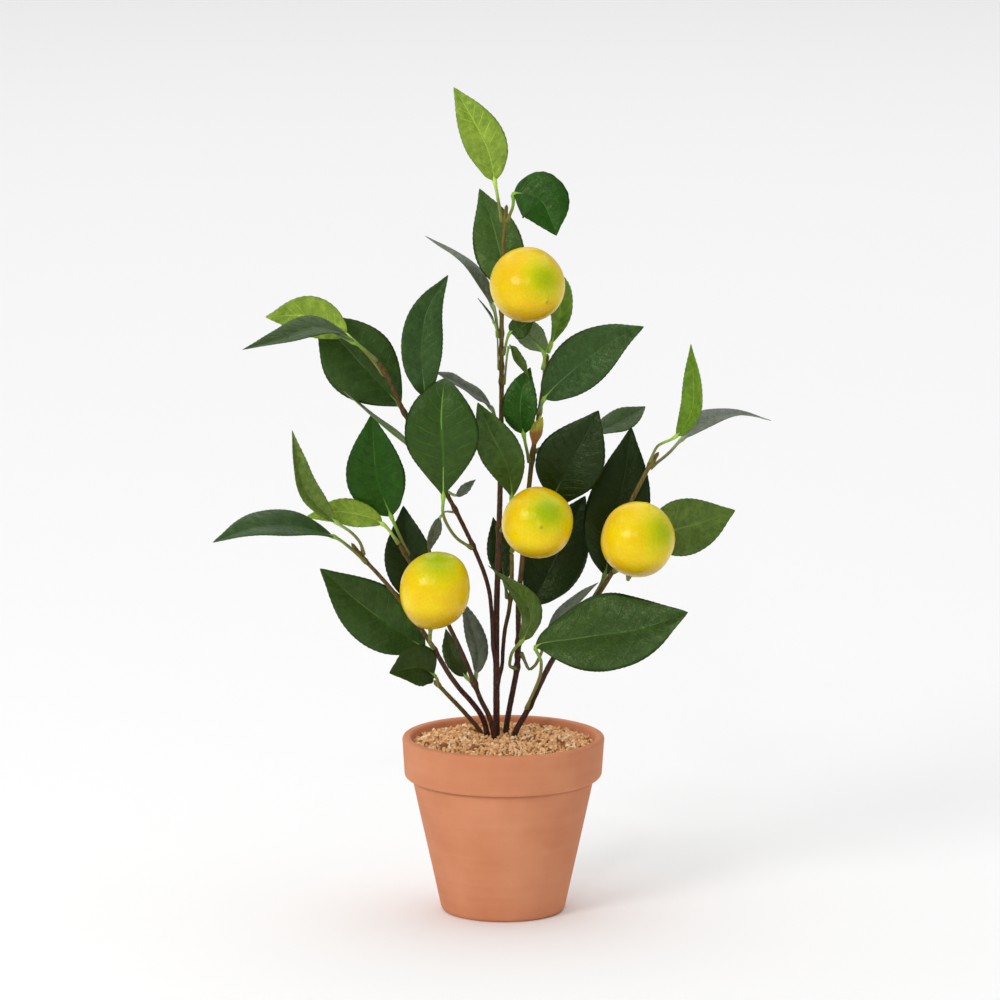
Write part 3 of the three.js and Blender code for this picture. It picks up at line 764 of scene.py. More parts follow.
# %% Where the leaf stalks start
def leaf_rings(node):
    """A leaf's root, rings and tip, from the stem outwards: the root lies close behind its first ring."""
    start, rings, end = rings_of(node)
    start_gap = np.linalg.norm(rings[0].mean(axis=0) - start)
    end_gap = np.linalg.norm(rings[-1].mean(axis=0) - end)
    return (start, rings, end) if start_gap < end_gap else reversed_loft((start, rings, end))


LEAF_LOFTS = {node: leaf_rings(node) for node in LEAF_NODES}
leaf_roots = np.array([loft[0] for loft in LEAF_LOFTS.values()])
root_heights = leaf_roots[:, 2] * 1000
print("leaf roots from", round(root_heights.min()), "to", round(root_heights.max()), "mm up")

# %% Grow the stems
STEM_STEP = 1.5 * MM
KNOT_RISE = 0.55 * MM
KNOT_LENGTH = 2.2 * MM
KNOT_REACH = 4.5 * MM  # a leaf this near to a stem grows from it
FORKED_ABOVE = 120 * MM  # a stem whose foot is higher than this leaves the leader, not the soil
FORK_REACH = 18 * MM
FORK_GIRTHS = (0.9, 1.25)  # of the stem's own, in the leader's middle and in the crotch
BARK_SIDES = 14
BARK_DEPTH = 0.35 * MM
STEM_YOUTH = {"stem_leader": 0.7, "stem_right": 0.75, "stem_middle": 0.7, "stem_lower_left": 0.9,
              "stem_left": 0.5, "stem_upper_left": 0.3, "stem_short": 0.6, "stem_inner_left": 0.35}


def stem_line(node):
    """The middle line of a coarse stem from its foot up, and its radii."""
    start, rings, end = rings_of(node)
    if start[2] > end[2]:
        rings = rings[::-1]
    centres = np.array([ring.mean(axis=0) for ring in rings])
    radii = np.array([np.linalg.norm(ring - ring.mean(axis=0), axis=1).mean() for ring in rings])
    return centres, radii


def at_heights(line, heights):
    """The places at those heights on a line that rises all the way."""
    return np.stack([np.interp(heights, line[:, 2], line[:, axis]) for axis in range(3)], axis=-1)


def grow_stem(node):
    centres, radii = stem_line(node)
    if centres[0][2] > FORKED_ABOVE:
        leader = stem_line("stem_leader")[0]
        root = at_heights(leader, centres[0][2] - FORK_REACH)
        beside = (at_heights(leader, centres[0][2] - FORK_REACH / 2) + centres[0]) / 2
        centres = np.concatenate([[root, beside], centres])
        radii = np.concatenate([radii[:1] * FORK_GIRTHS[0], radii[:1] * FORK_GIRTHS[1], radii])
    way = run_length(centres)
    at = np.linspace(0, way[-1], max(4, round(way[-1] / STEM_STEP)))
    line = smooth_through(way, centres, at)
    girth = smooth_through(way, radii, at)
    for root in leaf_roots:
        distance = np.linalg.norm(line - root, axis=1)
        if distance.min() < KNOT_REACH:
            girth += KNOT_RISE * hill(at - at[distance.argmin()], KNOT_LENGTH)
    rounding = np.sqrt(np.clip((way[-1] - at) / girth[-1], 0.02, 1))
    youth = smooth_step(0.25, 1.0, at / way[-1]) * STEM_YOUTH[node]
    edges = [(i, i + 1) for i in range(len(line) - 1)]
    mesh = bpy.data.meshes.new("bark_" + node)
    mesh.from_pydata(line.tolist(), edges, [])
    store(mesh, "girth", girth * rounding)
    store(mesh, "youth", youth)
    piece = add_object("bark_" + node, mesh)
    stem_tree.apply(piece, Sides=BARK_SIDES, Bark_depth=BARK_DEPTH, Bark_scale=520.0, Bark_finish=bark)
    settle(piece, "stem_bark", node)
    return piece


stems = [grow_stem(node) for node in STEM_NODES]
print("stems:", sum(len(piece.data.polygons) for piece in stems), "faces")

# %% [markdown]
# ## Leaves
#
# A lemon leaf is a thin leathery blade on a short green stalk. A pale midrib runs on from the stalk, side
# veins leave it in pairs and bend towards the tip, and the blade is slightly quilted between them. The
# edge is finely scalloped, and no leaf lies flat. Each coarse leaf gives the midrib's line, the two edges
# and the way that it faces. The fine blade is a grid over them: one closed skin, thin at its edge, with a
# second closed skin for stalk and midrib.

# %% Colours of the leaves: each leaf's own green, and painted light, painted shade and painted sheen for some
LEAF_COLOURS = {
    # name: blade, stalk, and how far the veins take the stalk's brightness
    "young": (paint(132, 160, 58), paint(160, 192, 82), 0.5),
    "fresh": (paint(100, 136, 34), paint(144, 180, 62), 0.4),
    "vivid": (paint(22, 72, 0), paint(116, 156, 44), 0.2),
    "deep": (paint(40, 68, 20), paint(116, 152, 50), 0.2),
    # painted shade: a darker copy of the leaf green, for leaves that stand in shade
    "dim": (paint(36, 54, 8), paint(110, 140, 46), 0.2),
    # painted light: a lighter copy of the leaf green, for leaves that stand in light
    "lit": (paint(62, 92, 38), paint(120, 156, 56), 0.3),
    "veined": (paint(38, 68, 18), paint(126, 168, 50), 0.8),
    "bluish": (paint(44, 74, 34), paint(112, 148, 62), 0.15),
    # painted shade: a much darker copy of the leaf green, for leaves deep in shade
    "shaded": (paint(8, 31, 0), paint(84, 112, 34), 0.15),
    "olive": (paint(82, 106, 44), paint(122, 152, 58), 0.25),
    "pale_olive": (paint(106, 130, 58), paint(136, 164, 74), 0.2),
    # painted sheen: the grey of leaves that reflect the pale surroundings
    "grey": (paint(94, 102, 92), paint(124, 140, 92), 0.15),
}
LEAVES_BY_TONE_AND_LIGHT = {
    "young": ("crown_pale", "upper_left_pale", "inner_left_pale"),
    "fresh": ("lemon_side", "right_tip_pale"),
    "vivid": ("crown_arched", "middle_ribbed", "inner_left_upright"),
    "deep": ("crown_short", "crown_wisp", "upper_left_arched", "upper_left_broad", "middle_far",
             "right_glossy", "left_broad"),
    "dim": ("inner_left_narrow", "lower_left_folded"),
    "lit": ("crown_back", "leader_front", "lemon_under"),
    "veined": ("front_broad",),
    "bluish": ("upper_left_upright", "right_high_broad", "left_drooping"),
    "shaded": ("short_shaded", "middle_broad", "middle_shaded", "right_shaded", "inner_left_shaded"),
    "olive": ("crown_ribbon", "upper_left_edge", "middle_twisted", "right_side"),
    "pale_olive": ("left_upright",),
    "grey": ("crown_slender", "leader_level", "front_small", "front_hanging", "middle_grey",
             "right_tip_arched", "inner_left_slender"),
}
TONE_AND_LIGHT = {leaf: colour_name for colour_name, leaves in LEAVES_BY_TONE_AND_LIGHT.items() for leaf in leaves}
print(len(TONE_AND_LIGHT), "leaves in", len(LEAF_COLOURS), "colours")

# %% The finishes of blade and stalk
VEIN_PAIRS = 10
VEIN_SLANT = 0.16  # how far along the blade a side vein moves on its way to the edge
VEIN_BEND = 0.8  # below 1, a side vein bends towards the tip as it nears the edge
VEIN_STAGGER = 0.45  # how far the right half's veins stand off the left half's, of their spacing


def blade_finish():
    """A leathery blade: side veins and a fine net, in the colour and the relief, and a paler underside."""
    leaf = Finish("leaf_blade")
    colour = leaf.attribute("leaf_colour").outputs["Color"]
    split = leaf.nodes.new("ShaderNodeSeparateXYZ")
    leaf.put(split.inputs[0], leaf.attribute("blade").outputs["Vector"])
    across, along, upper = split.outputs
    outward = leaf.maths("ABSOLUTE", across)
    slant = leaf.maths("MULTIPLY", leaf.maths("POWER", outward, VEIN_BEND), VEIN_SLANT * VEIN_PAIRS)
    count = leaf.maths("SUBTRACT", leaf.maths("MULTIPLY", along, VEIN_PAIRS), slant)
    right_half = leaf.maths("GREATER_THAN", across, 0)
    count = leaf.maths("ADD", count, leaf.maths("MULTIPLY", right_half, VEIN_STAGGER))
    wander = leaf.maths("MULTIPLY", leaf.noise(90, 2), 0.35)
    place = leaf.maths("FRACT", leaf.maths("ADD", count, wander))
    off = leaf.maths("ABSOLUTE", leaf.maths("SUBTRACT", place, 0.5))
    vein = leaf.fade(off, 0.0, 0.09, 1.0, 0.0)
    vein = leaf.maths("MULTIPLY", vein, leaf.fade(outward, 0.55, 0.95, 1.0, 0.0))
    veining = leaf.attribute("veining").outputs["Fac"]
    shown = leaf.maths("MULTIPLY", veining, leaf.fade(leaf.noise(60, 2), 0.42, 0.6))
    midrib = leaf.fade(outward, 0.015, 0.06, 1.0, 0.0)
    net = leaf.fade(leaf.cells(620, "DISTANCE_TO_EDGE"), 0.0, 0.14, 1.0, 0.0)
    mottle = leaf.fade(leaf.noise(330, 4, 0.62), 0.34, 0.68)
    clouds = leaf.fade(leaf.noise(34, 3), 0.3, 0.7)
    creases = leaf.noise(150, 3, 0.55)

    darker = leaf.blend(1.0, colour, (0.52, 0.6, 0.45, 1), "MULTIPLY")
    lighter = leaf.blend(1.0, colour, (1.55, 1.4, 1.3, 1), "MULTIPLY")
    bright = leaf.blend(1.0, colour, (2.1, 2.2, 1.3, 1), "MULTIPLY")
    painted = leaf.blend(mottle, darker, colour)
    painted = leaf.blend(leaf.fade(creases, 0.5, 0.72, 0, 0.7), painted, lighter)
    painted = leaf.blend(leaf.maths("MULTIPLY", clouds, 0.35), painted, lighter)
    painted = leaf.blend(leaf.maths("MULTIPLY", net, 0.18), painted, lighter)
    painted = leaf.blend(leaf.maths("MULTIPLY", vein, shown), painted, bright)
    painted = leaf.blend(leaf.maths("MULTIPLY", midrib, veining), painted, bright)
    # Painted shade: the blade darkens towards its edge, as leaves look darker along their silhouettes.
    rim = leaf.fade(outward, 0.955, 1.0, 0.0, 0.45)
    painted = leaf.blend(rim, painted, darker)
    pale = leaf.blend(0.45, colour, paint(136, 152, 112))
    below = leaf.blend(leaf.maths("MULTIPLY", vein, 0.6), pale, lighter)
    painted = leaf.blend(leaf.fade(upper, 0.3, 0.7), below, painted)

    grooves = leaf.maths("MAXIMUM", vein, midrib)
    ribbed = leaf.relief(leaf.maths("SUBTRACT", 1.0, grooves), 0.4, 0.0004)
    creased = leaf.relief(creases, 0.5, 0.0016, ribbed)
    pored = leaf.relief(leaf.maths("ADD", mottle, net), 0.35, 0.0002, creased)
    leaf.set(Base_Color=painted, Roughness=leaf.fade(mottle, 0, 1, 0.42, 0.3), Normal=pored)
    leaf.set(Specular_IOR_Level=0.38, Specular_Tint=(0.8, 1.0, 0.5, 1))
    return leaf.material


def stalk_finish():
    """A leaf's stalk and midrib: paler than the blade, with fine lines along it."""
    stalk = Finish("leaf_stalk")
    colour = stalk.attribute("leaf_colour").outputs["Color"]
    lines = stalk.noise(700, 3)
    lighter = stalk.blend(1.0, colour, (1.25, 1.2, 1.2, 1), "MULTIPLY")
    painted = stalk.blend(stalk.fade(lines, 0.35, 0.7), colour, lighter)
    stalk.set(Base_Color=painted, Roughness=0.5, Normal=stalk.relief(lines, 0.3, 0.0002))
    return stalk.material


blade_look = blade_finish()
stalk_look = stalk_finish()
print("finishes:", blade_look.name, "and", stalk_look.name)

# %% The line, edges and lift of a leaf
BLADE_DEPTH = 1.16 * MM  # a coarse blade is thinner than this through its middle, and a stalk thicker
MIDDLE_SHARE = 0.66  # where the midrib's line lies between the under and upper points of a ring


def ring_marks(ring, towards):
    """A ring's middle, its half width as an arrow to the right, its lift and the way up through it."""
    apart = np.linalg.norm(ring[:, None] - ring[None], axis=2)
    one, other = np.unravel_index(apart.argmax(), apart.shape)
    under_number = (one + 1) % 6 if (other - one) % 6 == 2 else (one - 1) % 6
    under = ring[under_number]
    top = ring[(under_number + 3) % 6]
    middle = under + (top - under) * MIDDLE_SHARE
    half = (ring[one] - ring[other]) / 2
    if np.dot(np.cross(towards, top - under), half) > 0:
        half = -half
    lift = (ring[one] + ring[other]) / 2 - middle
    return middle, half, lift, top - under


def leaf_plan(node):
    """The leaf's line from its root to its tip, where its blade starts, and the blade's edges along it."""
    root, rings, tip = LEAF_LOFTS[node]
    centres = np.array([ring.mean(axis=0) for ring in rings] + [tip])
    marks = [ring_marks(ring, centres[i + 1] - centres[i]) for i, ring in enumerate(rings)]
    first = next(i for i, mark in enumerate(marks) if np.linalg.norm(mark[3]) < BLADE_DEPTH)
    line = np.array([root] + [mark[0] for mark in marks[1:]] + [tip])
    way = run_length(line)
    base = way[first - 1]
    return {
        "line": line, "way": way, "base": base,
        "stations": (way[first:-1] - base) / (way[-1] - base),
        "halves": np.array([mark[1] for mark in marks[first:]]),
        "lifts": np.array([mark[2] for mark in marks[first:]]),
        "ups": np.array([mark[3] for mark in marks[first:]]),
    }


plan = leaf_plan("leaf_front_broad")
print("front_broad: blade", round((plan["way"][-1] - plan["base"]) * 1000, 1), "mm long,",
      round(np.linalg.norm(plan["halves"], axis=1).max() * 2000, 1), "mm wide")

# %% The surface of a blade
BLADE_ROWS = 84
BLADE_COLUMNS = 20
BLADE_THICKNESS = 0.42 * MM
BLADE_SPAN = (0.006, 0.992)  # where the rows start and end, before the tip's own corner
QUILTING = 0.2 * MM
FULL_QUILTING = 12 * MM  # a blade with a smaller half width is less quilted
EDGE_WAVE = 0.06  # of the half width
BULGE = 0.07  # how far each half of a blade is rounded up between midrib and edge, of the half width
SCALLOP_LENGTH = 3.1 * MM
SCALLOP_DEPTH = 0.13 * MM
FOLD_CURVE = 1.2  # above 1, the blade is flatter near the midrib than at its edge


def blade_outline(along):
    """The width that every leaf shares: round near its base and drawn to a point."""
    return np.sin(math.pi * np.clip(along, 0, 1)) ** 0.85


def along_blade(plan, values, along):
    """Values known at the coarse stations, carried on to both ends and smoothed."""
    stations = np.concatenate([[0.0], plan["stations"], [1.0]])
    return smooth_through(stations, np.concatenate([values[:1], values, values[-1:]]), along)


def blade_frame(plan, along):
    """Middle, unit arrow to the right, unit arrow up, half width and lift for each place along the blade."""
    widths = np.linalg.norm(plan["halves"], axis=1)
    width = blade_outline(along) * along_blade(plan, widths / blade_outline(plan["stations"]), along)
    right = unit(along_blade(plan, unit(plan["halves"]), along))
    slope = along_blade(plan, plan["lifts"] / widths[:, None], along)
    up = unit(along_blade(plan, unit(plan["ups"]), along))
    distance = plan["base"] + (plan["way"][-1] - plan["base"]) * along
    return smooth_through(plan["way"], plan["line"], distance), right, up, width, slope


def vein_place(across, along):
    """0.5 on a side vein, and 0 or 1 halfway to the next."""
    slant = np.abs(across) ** VEIN_BEND * VEIN_SLANT * VEIN_PAIRS
    return (along * VEIN_PAIRS - slant + VEIN_STAGGER * (across > 0)) % 1


def blade_lift(s, t, width, chance):
    """How high each place lies: waved at the edge, sunk between the veins and rounded in each half."""
    phases = chance.uniform(0, 2 * math.pi, 2)
    turns = chance.uniform(1.2, 2.0)
    wave = np.sin(2 * math.pi * turns * t + np.where(s > 0, phases[0], phases[1])) * s ** 2
    quilt = (0.5 + 0.5 * np.cos(2 * math.pi * (vein_place(s, t) - 0.5))) * np.sin(math.pi * np.abs(s) ** 0.8)
    lift = wave * EDGE_WAVE * width - quilt * QUILTING * np.minimum(1, width / FULL_QUILTING)
    lift += (np.sin(math.pi * np.abs(s)) + 0.3 * np.sin(3 * math.pi * t + phases[0])) * BULGE * width
    return lift


def blade_faces(upper, under, tip):
    """Faces of a closed blade, from the corner numbers of its two sides, which share their edges."""
    faces = []
    for row in range(len(upper) - 1):
        faces += strip_between(upper[row], upper[row + 1])
        faces += strip_between(under[row], under[row + 1], flip=True)
    for last, flip in ((upper[-1], False), (under[-1], True)):
        ends = [(one, other, tip) for one, other in zip(last[:-1], last[1:])]
        faces += [tuple(reversed(face)) if flip else face for face in ends]
    faces.append(tuple(upper[0][::-1] + under[0][1:-1]))
    return faces


def blade_skin(plan, chance):
    """Corners, faces and the across-along-upper values of the blade's closed skin."""
    share = np.linspace(0, 1, BLADE_ROWS)
    eased = 0.6 * share + 0.4 * (0.5 - 0.5 * np.cos(math.pi * share))
    along = BLADE_SPAN[0] + (BLADE_SPAN[1] - BLADE_SPAN[0]) * eased
    across = np.linspace(-1, 1, BLADE_COLUMNS + 1)
    middle, right, up, width, slope = blade_frame(plan, along)
    length = plan["way"][-1] - plan["base"]
    scallops = np.cos(2 * math.pi * along * round(length / SCALLOP_LENGTH)) * SCALLOP_DEPTH
    width = width + scallops * smooth_step(0.1, 0.3, along) * smooth_step(1.0, 0.85, along)
    s, t = np.meshgrid(across, along)
    lift = blade_lift(s, t, width[:, None], chance)
    surface = middle[:, None] + right[:, None] * s[..., None] * width[:, None, None]
    surface += up[:, None] * lift[..., None]
    surface += slope[:, None] * (np.abs(s) ** FOLD_CURVE * width[:, None])[..., None]
    thick = up[:, None] * (np.sqrt(1 - s ** 2) * BLADE_THICKNESS / 2)[..., None]
    upper = surface + thick
    under = (surface - thick)[:, 1:-1]
    corners = np.concatenate([upper.reshape(-1, 3), under.reshape(-1, 3), plan["line"][-1:]])
    upper_numbers = np.arange(s.size).reshape(s.shape)
    under_numbers = upper_numbers.copy()
    under_numbers[:, 1:-1] = s.size + np.arange(under[..., 0].size).reshape(BLADE_ROWS, -1)
    faces = blade_faces(upper_numbers.tolist(), under_numbers.tolist(), len(corners) - 1)
    marks = np.stack([s, t, np.ones_like(s)], axis=-1).reshape(-1, 3)
    under_marks = np.stack([s, t, np.zeros_like(s)], axis=-1)[:, 1:-1].reshape(-1, 3)
    return corners, faces, np.concatenate([marks, under_marks, [[0, 1, 1]]])


corners, faces, marks = blade_skin(plan, np.random.default_rng(1))
print("a blade:", len(corners), "corners,", len(faces), "faces")

# %% The stalk and midrib of a leaf
STALK_SIDES = 10
STALK_STEP = 1.6 * MM
STALK_GIRTH = 0.95 * MM
STALK_FOOT = 1.45 * MM  # the swollen foot where a stalk leaves its stem
FOOT_LENGTH = 2.4 * MM
FOOT_SUNK = 1.3 * MM
MIDRIB_END = 0.93  # how far along the blade the midrib can be seen
MIDRIB_ROWS = 40
MIDRIB_PROUD = 0.14 * MM
MIDRIB_GIRTH = 0.8 * MM  # at the blade's base, over what it has at the tip
MIDRIB_TIP_GIRTH = 0.1 * MM
FIRST_GIRTHS = (0.95 * MM, 0.9 * MM, 0.85 * MM, 0.8 * MM)  # the least, where the midrib leaves the collar
COLLAR_RISE = 0.6 * MM  # the bright swelling where the stalk becomes the blade
COLLAR_LENGTH = 2.2 * MM
FULL_HALF_WIDTH = 8 * MM  # a leaf narrower than this has a slimmer stalk
LEAST_SLIMNESS = 0.55


def rod(line, girth, ups, sides):
    """Corners and faces of a closed rod along a line, with its ends drawn to a point."""
    tangents = unit(np.gradient(line, axis=0))
    rights = unit(np.cross(tangents, ups))
    tops = np.cross(rights, tangents)
    angles = np.arange(sides) * 2 * math.pi / sides
    rounds = rights[:, None] * np.cos(angles)[None, :, None] + tops[:, None] * np.sin(angles)[None, :, None]
    rings = line[:, None] + rounds * girth[:, None, None]
    ends = np.array([line[0] - tangents[0] * girth[0] * 0.6, line[-1] + tangents[-1] * girth[-1] * 0.6])
    faces = ring_faces(len(line), sides)
    first, last = len(line) * sides, len(line) * sides + 1
    for side in range(sides):
        other = (side + 1) % sides
        faces.append((side, first, other))
        faces.append((first - sides + side, first - sides + other, last))
    return np.concatenate([rings.reshape(-1, 3), ends]), faces


def stalk_skin(plan):
    """The stalk from inside the stem's bark to the blade, and the midrib along the blade."""
    stalk_at = np.linspace(0, plan["base"], max(3, round(plan["base"] / STALK_STEP)), endpoint=False)
    blade_at = np.linspace(0.004, MIDRIB_END, MIDRIB_ROWS)
    stalk_line = smooth_through(plan["way"], plan["line"], stalk_at)
    middle, right, up, width, slope = blade_frame(plan, blade_at)
    outwards = unit(stalk_line[1] - stalk_line[0])
    stalk_line[0] -= outwards * FOOT_SUNK
    stalk_girth = STALK_GIRTH + (STALK_FOOT - STALK_GIRTH) * hill(stalk_at, FOOT_LENGTH)
    slimness = np.clip(width.max() / FULL_HALF_WIDTH, LEAST_SLIMNESS, 1)
    thinning = (1 - blade_at / MIDRIB_END) ** 0.9
    midrib_girth = MIDRIB_TIP_GIRTH + np.minimum(MIDRIB_GIRTH * thinning, 0.3 * width)
    first_girths = np.array(FIRST_GIRTHS)
    midrib_girth[:len(first_girths)] = np.maximum(midrib_girth[:len(first_girths)], first_girths)
    sunk = BLADE_THICKNESS / 2 + MIDRIB_PROUD * thinning - midrib_girth
    middle = middle + up * (sunk * smooth_step(-0.02, 0.06, blade_at))[:, None]
    ups = np.concatenate([np.repeat(up[:1], len(stalk_at), axis=0), up])
    blade_way = blade_at * (plan["way"][-1] - plan["base"])
    from_base = np.concatenate([stalk_at - plan["base"], blade_way])
    girth = np.concatenate([stalk_girth, midrib_girth])
    girth += COLLAR_RISE * hill(from_base, COLLAR_LENGTH)
    girth *= slimness
    corners, faces = rod(np.concatenate([stalk_line, middle]), girth, ups, STALK_SIDES)
    from_base = np.concatenate([np.repeat(from_base, STALK_SIDES), from_base[[0, -1]]])
    return corners, faces, from_base


corners, faces, from_base = stalk_skin(plan)
print("a stalk with its midrib:", len(faces), "faces")

# %% Grow the leaves
SLOTS = {part["node"]: part["material_slot"] for part in frame["record"]["subparts"]}


def stalk_colours(from_base, blade_colour, stalk_colour, veining):
    """Brownish at the foot, brightest at the collar, and on towards the blade's own colour as the midrib."""
    foot_colour = np.array(paint(104, 98, 44)[:3])
    midrib_colour = blade_colour + (stalk_colour - blade_colour) * veining
    foot = smooth_step(-6 * MM, -14 * MM, from_base)[:, None]
    collar = hill(from_base, 3 * MM)[:, None]
    midrib = smooth_step(1 * MM, 14 * MM, from_base)[:, None]
    colour = stalk_colour + (foot_colour - stalk_colour) * foot * 0.8 + stalk_colour * 0.3 * collar
    return colour + (midrib_colour - colour) * midrib


def grow_leaf(node, number):
    name = node[len("leaf_"):]
    plan = leaf_plan(node)
    blade, blade_quads, marks = blade_skin(plan, np.random.default_rng(100 + number))
    stalk, stalk_quads, from_base = stalk_skin(plan)
    corners, faces = joined((blade, blade_quads), (stalk, stalk_quads))
    blade_colour, stalk_colour, veining = LEAF_COLOURS[TONE_AND_LIGHT[name]]
    blade_colour = np.array(blade_colour[:3])
    colours = np.concatenate([np.tile(blade_colour, (len(blade), 1)),
                              stalk_colours(from_base, blade_colour, np.array(stalk_colour[:3]), veining)])
    marks = np.concatenate([marks, np.tile([0.0, 0.0, 1.0], (len(stalk), 1))])
    finish_numbers = [0] * len(blade_quads) + [1] * len(stalk_quads)
    piece = new_piece("foliage_" + name, corners, faces, [blade_look, stalk_look], finish_numbers,
                      {"blade": marks, "leaf_colour": colours, "veining": np.full(len(marks), veining)})
    face_outwards(piece)
    settle(piece, SLOTS[node], node)
    return piece


foliage = [grow_leaf(node, number) for number, node in enumerate(LEAF_NODES)]
print("leaves:", sum(len(piece.data.polygons) for piece in foliage), "faces")

# %% [markdown]
# ## The knobbly node
#
# Where several leaves and a fruit once left the middle stem together, their dry bracts stay as a small
# crown: a brown cup round the stem, and stubby yellow-green points that stand up out of it. It could be
# sculpted as one lump, but each bract is a short rod like a leaf's stalk, so the same helper makes them
# all, and chance gives each its own length and lean.

# %% The cup and its bracts
CROWN_HEIGHT = 287 * MM
CUP_LENGTH = 7 * MM
CUP_GIRTH = 3.9 * MM
CUP_RINGS = 8
BRACT_COUNT = 9
BRACT_RINGS = 9
BRACT_LENGTHS = (5, 13)  # in mm, the shortest and the longest
BRACT_GIRTH = 1.8 * MM
BRACT_OUT = 2.2 * MM  # from the stem's line to the foot of a bract


def crown_of_bracts(stem):
    """One closed skin for the cup and one for each bract, coloured from brown at the foot to green."""
    line, radii = stem_line(stem)
    heights = CROWN_HEIGHT + np.linspace(-CUP_LENGTH, 0.3 * CUP_LENGTH, CUP_RINGS)
    cup_line = at_heights(line, heights)
    share = np.linspace(0, 1, BRACT_RINGS)
    cup_girth = radii[-1] + (CUP_GIRTH - radii[-1]) * smooth_step(0, 0.8, share[1:])
    rods = [(cup_line, cup_girth, 0 * share[1:])]
    chance = np.random.default_rng(77)
    for number in range(BRACT_COUNT):
        turn = 2 * math.pi * (number + chance.uniform(-0.2, 0.2)) / BRACT_COUNT
        length = chance.uniform(*BRACT_LENGTHS) * MM
        lean = chance.uniform(0.1, 0.45)
        away = np.array([math.cos(turn), math.sin(turn), 0])
        out = BRACT_OUT + lean * length * share ** 1.4
        bract = cup_line[-3] + away * out[:, None] + np.array([0, 0, 1]) * (length * share)[:, None]
        rods.append((bract, BRACT_GIRTH * np.sin(math.pi * (0.25 + 0.7 * share)), 0.25 + 0.75 * share))
    aside = unit(np.array([[0.6, 0.8, 0.1]]))
    skins = [rod(way, girth, np.repeat(aside, len(way), axis=0), STALK_SIDES) for way, girth, youth in rods]
    youths = [np.concatenate([np.repeat(youth, STALK_SIDES), youth[[0, -1]]]) for way, girth, youth in rods]
    brown = np.array(paint(166, 106, 44)[:3])
    green = np.array(paint(190, 196, 62)[:3])
    colours = brown + (green - brown) * np.concatenate(youths)[:, None]
    corners, faces = joined(*skins)
    return new_piece("node_bracts", corners, faces, [stalk_look], attributes={"leaf_colour": colours})


bracts = crown_of_bracts("stem_middle")
face_outwards(bracts)
settle(bracts, "leaf_young")
print("bracts:", len(bracts.data.polygons), "faces")

# %% [markdown]
# ## Lemons
#
# The fruit are nearly round, with a waxy yellow peel, a small knob at the blossom end and a green patch
# where they ripen last. The peel is covered with shallow pits about two millimetres apart. A bump could
# draw them, but the pits would be lost in the finished mesh. So a globe of small faces is pressed in at
# each pit, the pits are real relief, and noise adds only the finest pores.

# %% The peel's finish
def peel_finish():
    """Waxy yellow peel, green on one side, a little deeper in its pits, and darkened underneath by painted
    shade.
    """
    peel = Finish("lemon_peel")
    green = peel.attribute("green").outputs["Fac"]
    pit = peel.attribute("pit").outputs["Fac"]
    clouds = peel.fade(peel.noise(42, 3), 0.3, 0.7)
    yellow = peel.blend(clouds, paint(240, 196, 6), paint(246, 218, 14))
    patchy = peel.maths("ADD", green, peel.maths("MULTIPLY", peel.maths("SUBTRACT", clouds, 0.5), 0.12))
    lime = peel.blend(peel.fade(patchy, 0.05, 0.6), yellow, paint(214, 208, 4))
    colour = peel.blend(peel.fade(patchy, 0.45, 0.95), lime, paint(166, 190, 0))
    # Painted shade: the peel is darkened on the lemon's lower side.
    underside_shade = peel.blend(1.0, colour, (0.52, 0.47, 0.3, 1), "MULTIPLY")
    colour = peel.blend(peel.attribute("under").outputs["Fac"], colour, underside_shade)
    deeper = peel.blend(1.0, colour, (0.86, 0.82, 0.6, 1), "MULTIPLY")
    colour = peel.blend(peel.maths("MULTIPLY", pit, 0.5), colour, deeper)
    scar = peel.attribute("scar").outputs["Fac"]
    colour = peel.blend(peel.maths("MULTIPLY", scar, 0.7), colour, paint(150, 134, 52))
    pores = peel.relief(peel.noise(1700, 2), 0.3, 0.00014)
    peel.set(Base_Color=colour, Roughness=0.25, Normal=pores)
    peel.set(Specular_IOR_Level=0.4, Specular_Tint=(1.0, 0.95, 0.55, 1))
    return peel.material


peel_look = peel_finish()
print("finish:", peel_look.name)

# %% The lemon's measures, from its coarse globe
def lemon_plan(node):
    """Centre, unit axis towards the blossom end, radius across and half length."""
    corners, neighbours = welded(node)
    poles = sorted(range(len(corners)), key=lambda i: len(neighbours[i]))[-2:]
    levels = levels_from(poles[0], neighbours)
    waist = corners[levels[len(levels) // 2]]
    centre = waist.mean(axis=0)
    reach = np.linalg.norm(corners[poles] - centre, axis=1)
    blossom = corners[poles[int(reach.argmax())]]
    return {
        "centre": centre, "axis": unit(blossom - centre), "long": reach.min(),
        "radius": np.linalg.norm(waist - centre, axis=1).mean(),
    }


LEMONS = {node: lemon_plan(node) for node in LEMON_NODES}
for node, lemon in LEMONS.items():
    print(node, "radius", round(lemon["radius"] * 1000, 1), "half length", round(lemon["long"] * 1000, 1))

# %% Make the lemons
LEMON_ROWS = 130
LEMON_SIDES = 200
PIT_SPACING = 2.1 * MM
PIT_RADIUS = 0.8 * MM
PIT_DEPTH = 0.1 * MM
KNOB_HEIGHT = 0.5 * MM
KNOB_ANGLE = 0.11
DIP_DEPTH = 0.22 * MM
CROWN_DIP = 0.7 * MM  # how far the stalk end sinks in
CROWN_ANGLE = 0.16
SCAR_ANGLE = 0.05
LUMPS = 0.28 * MM
PEEL_LUMP_LENGTH = 24 * MM

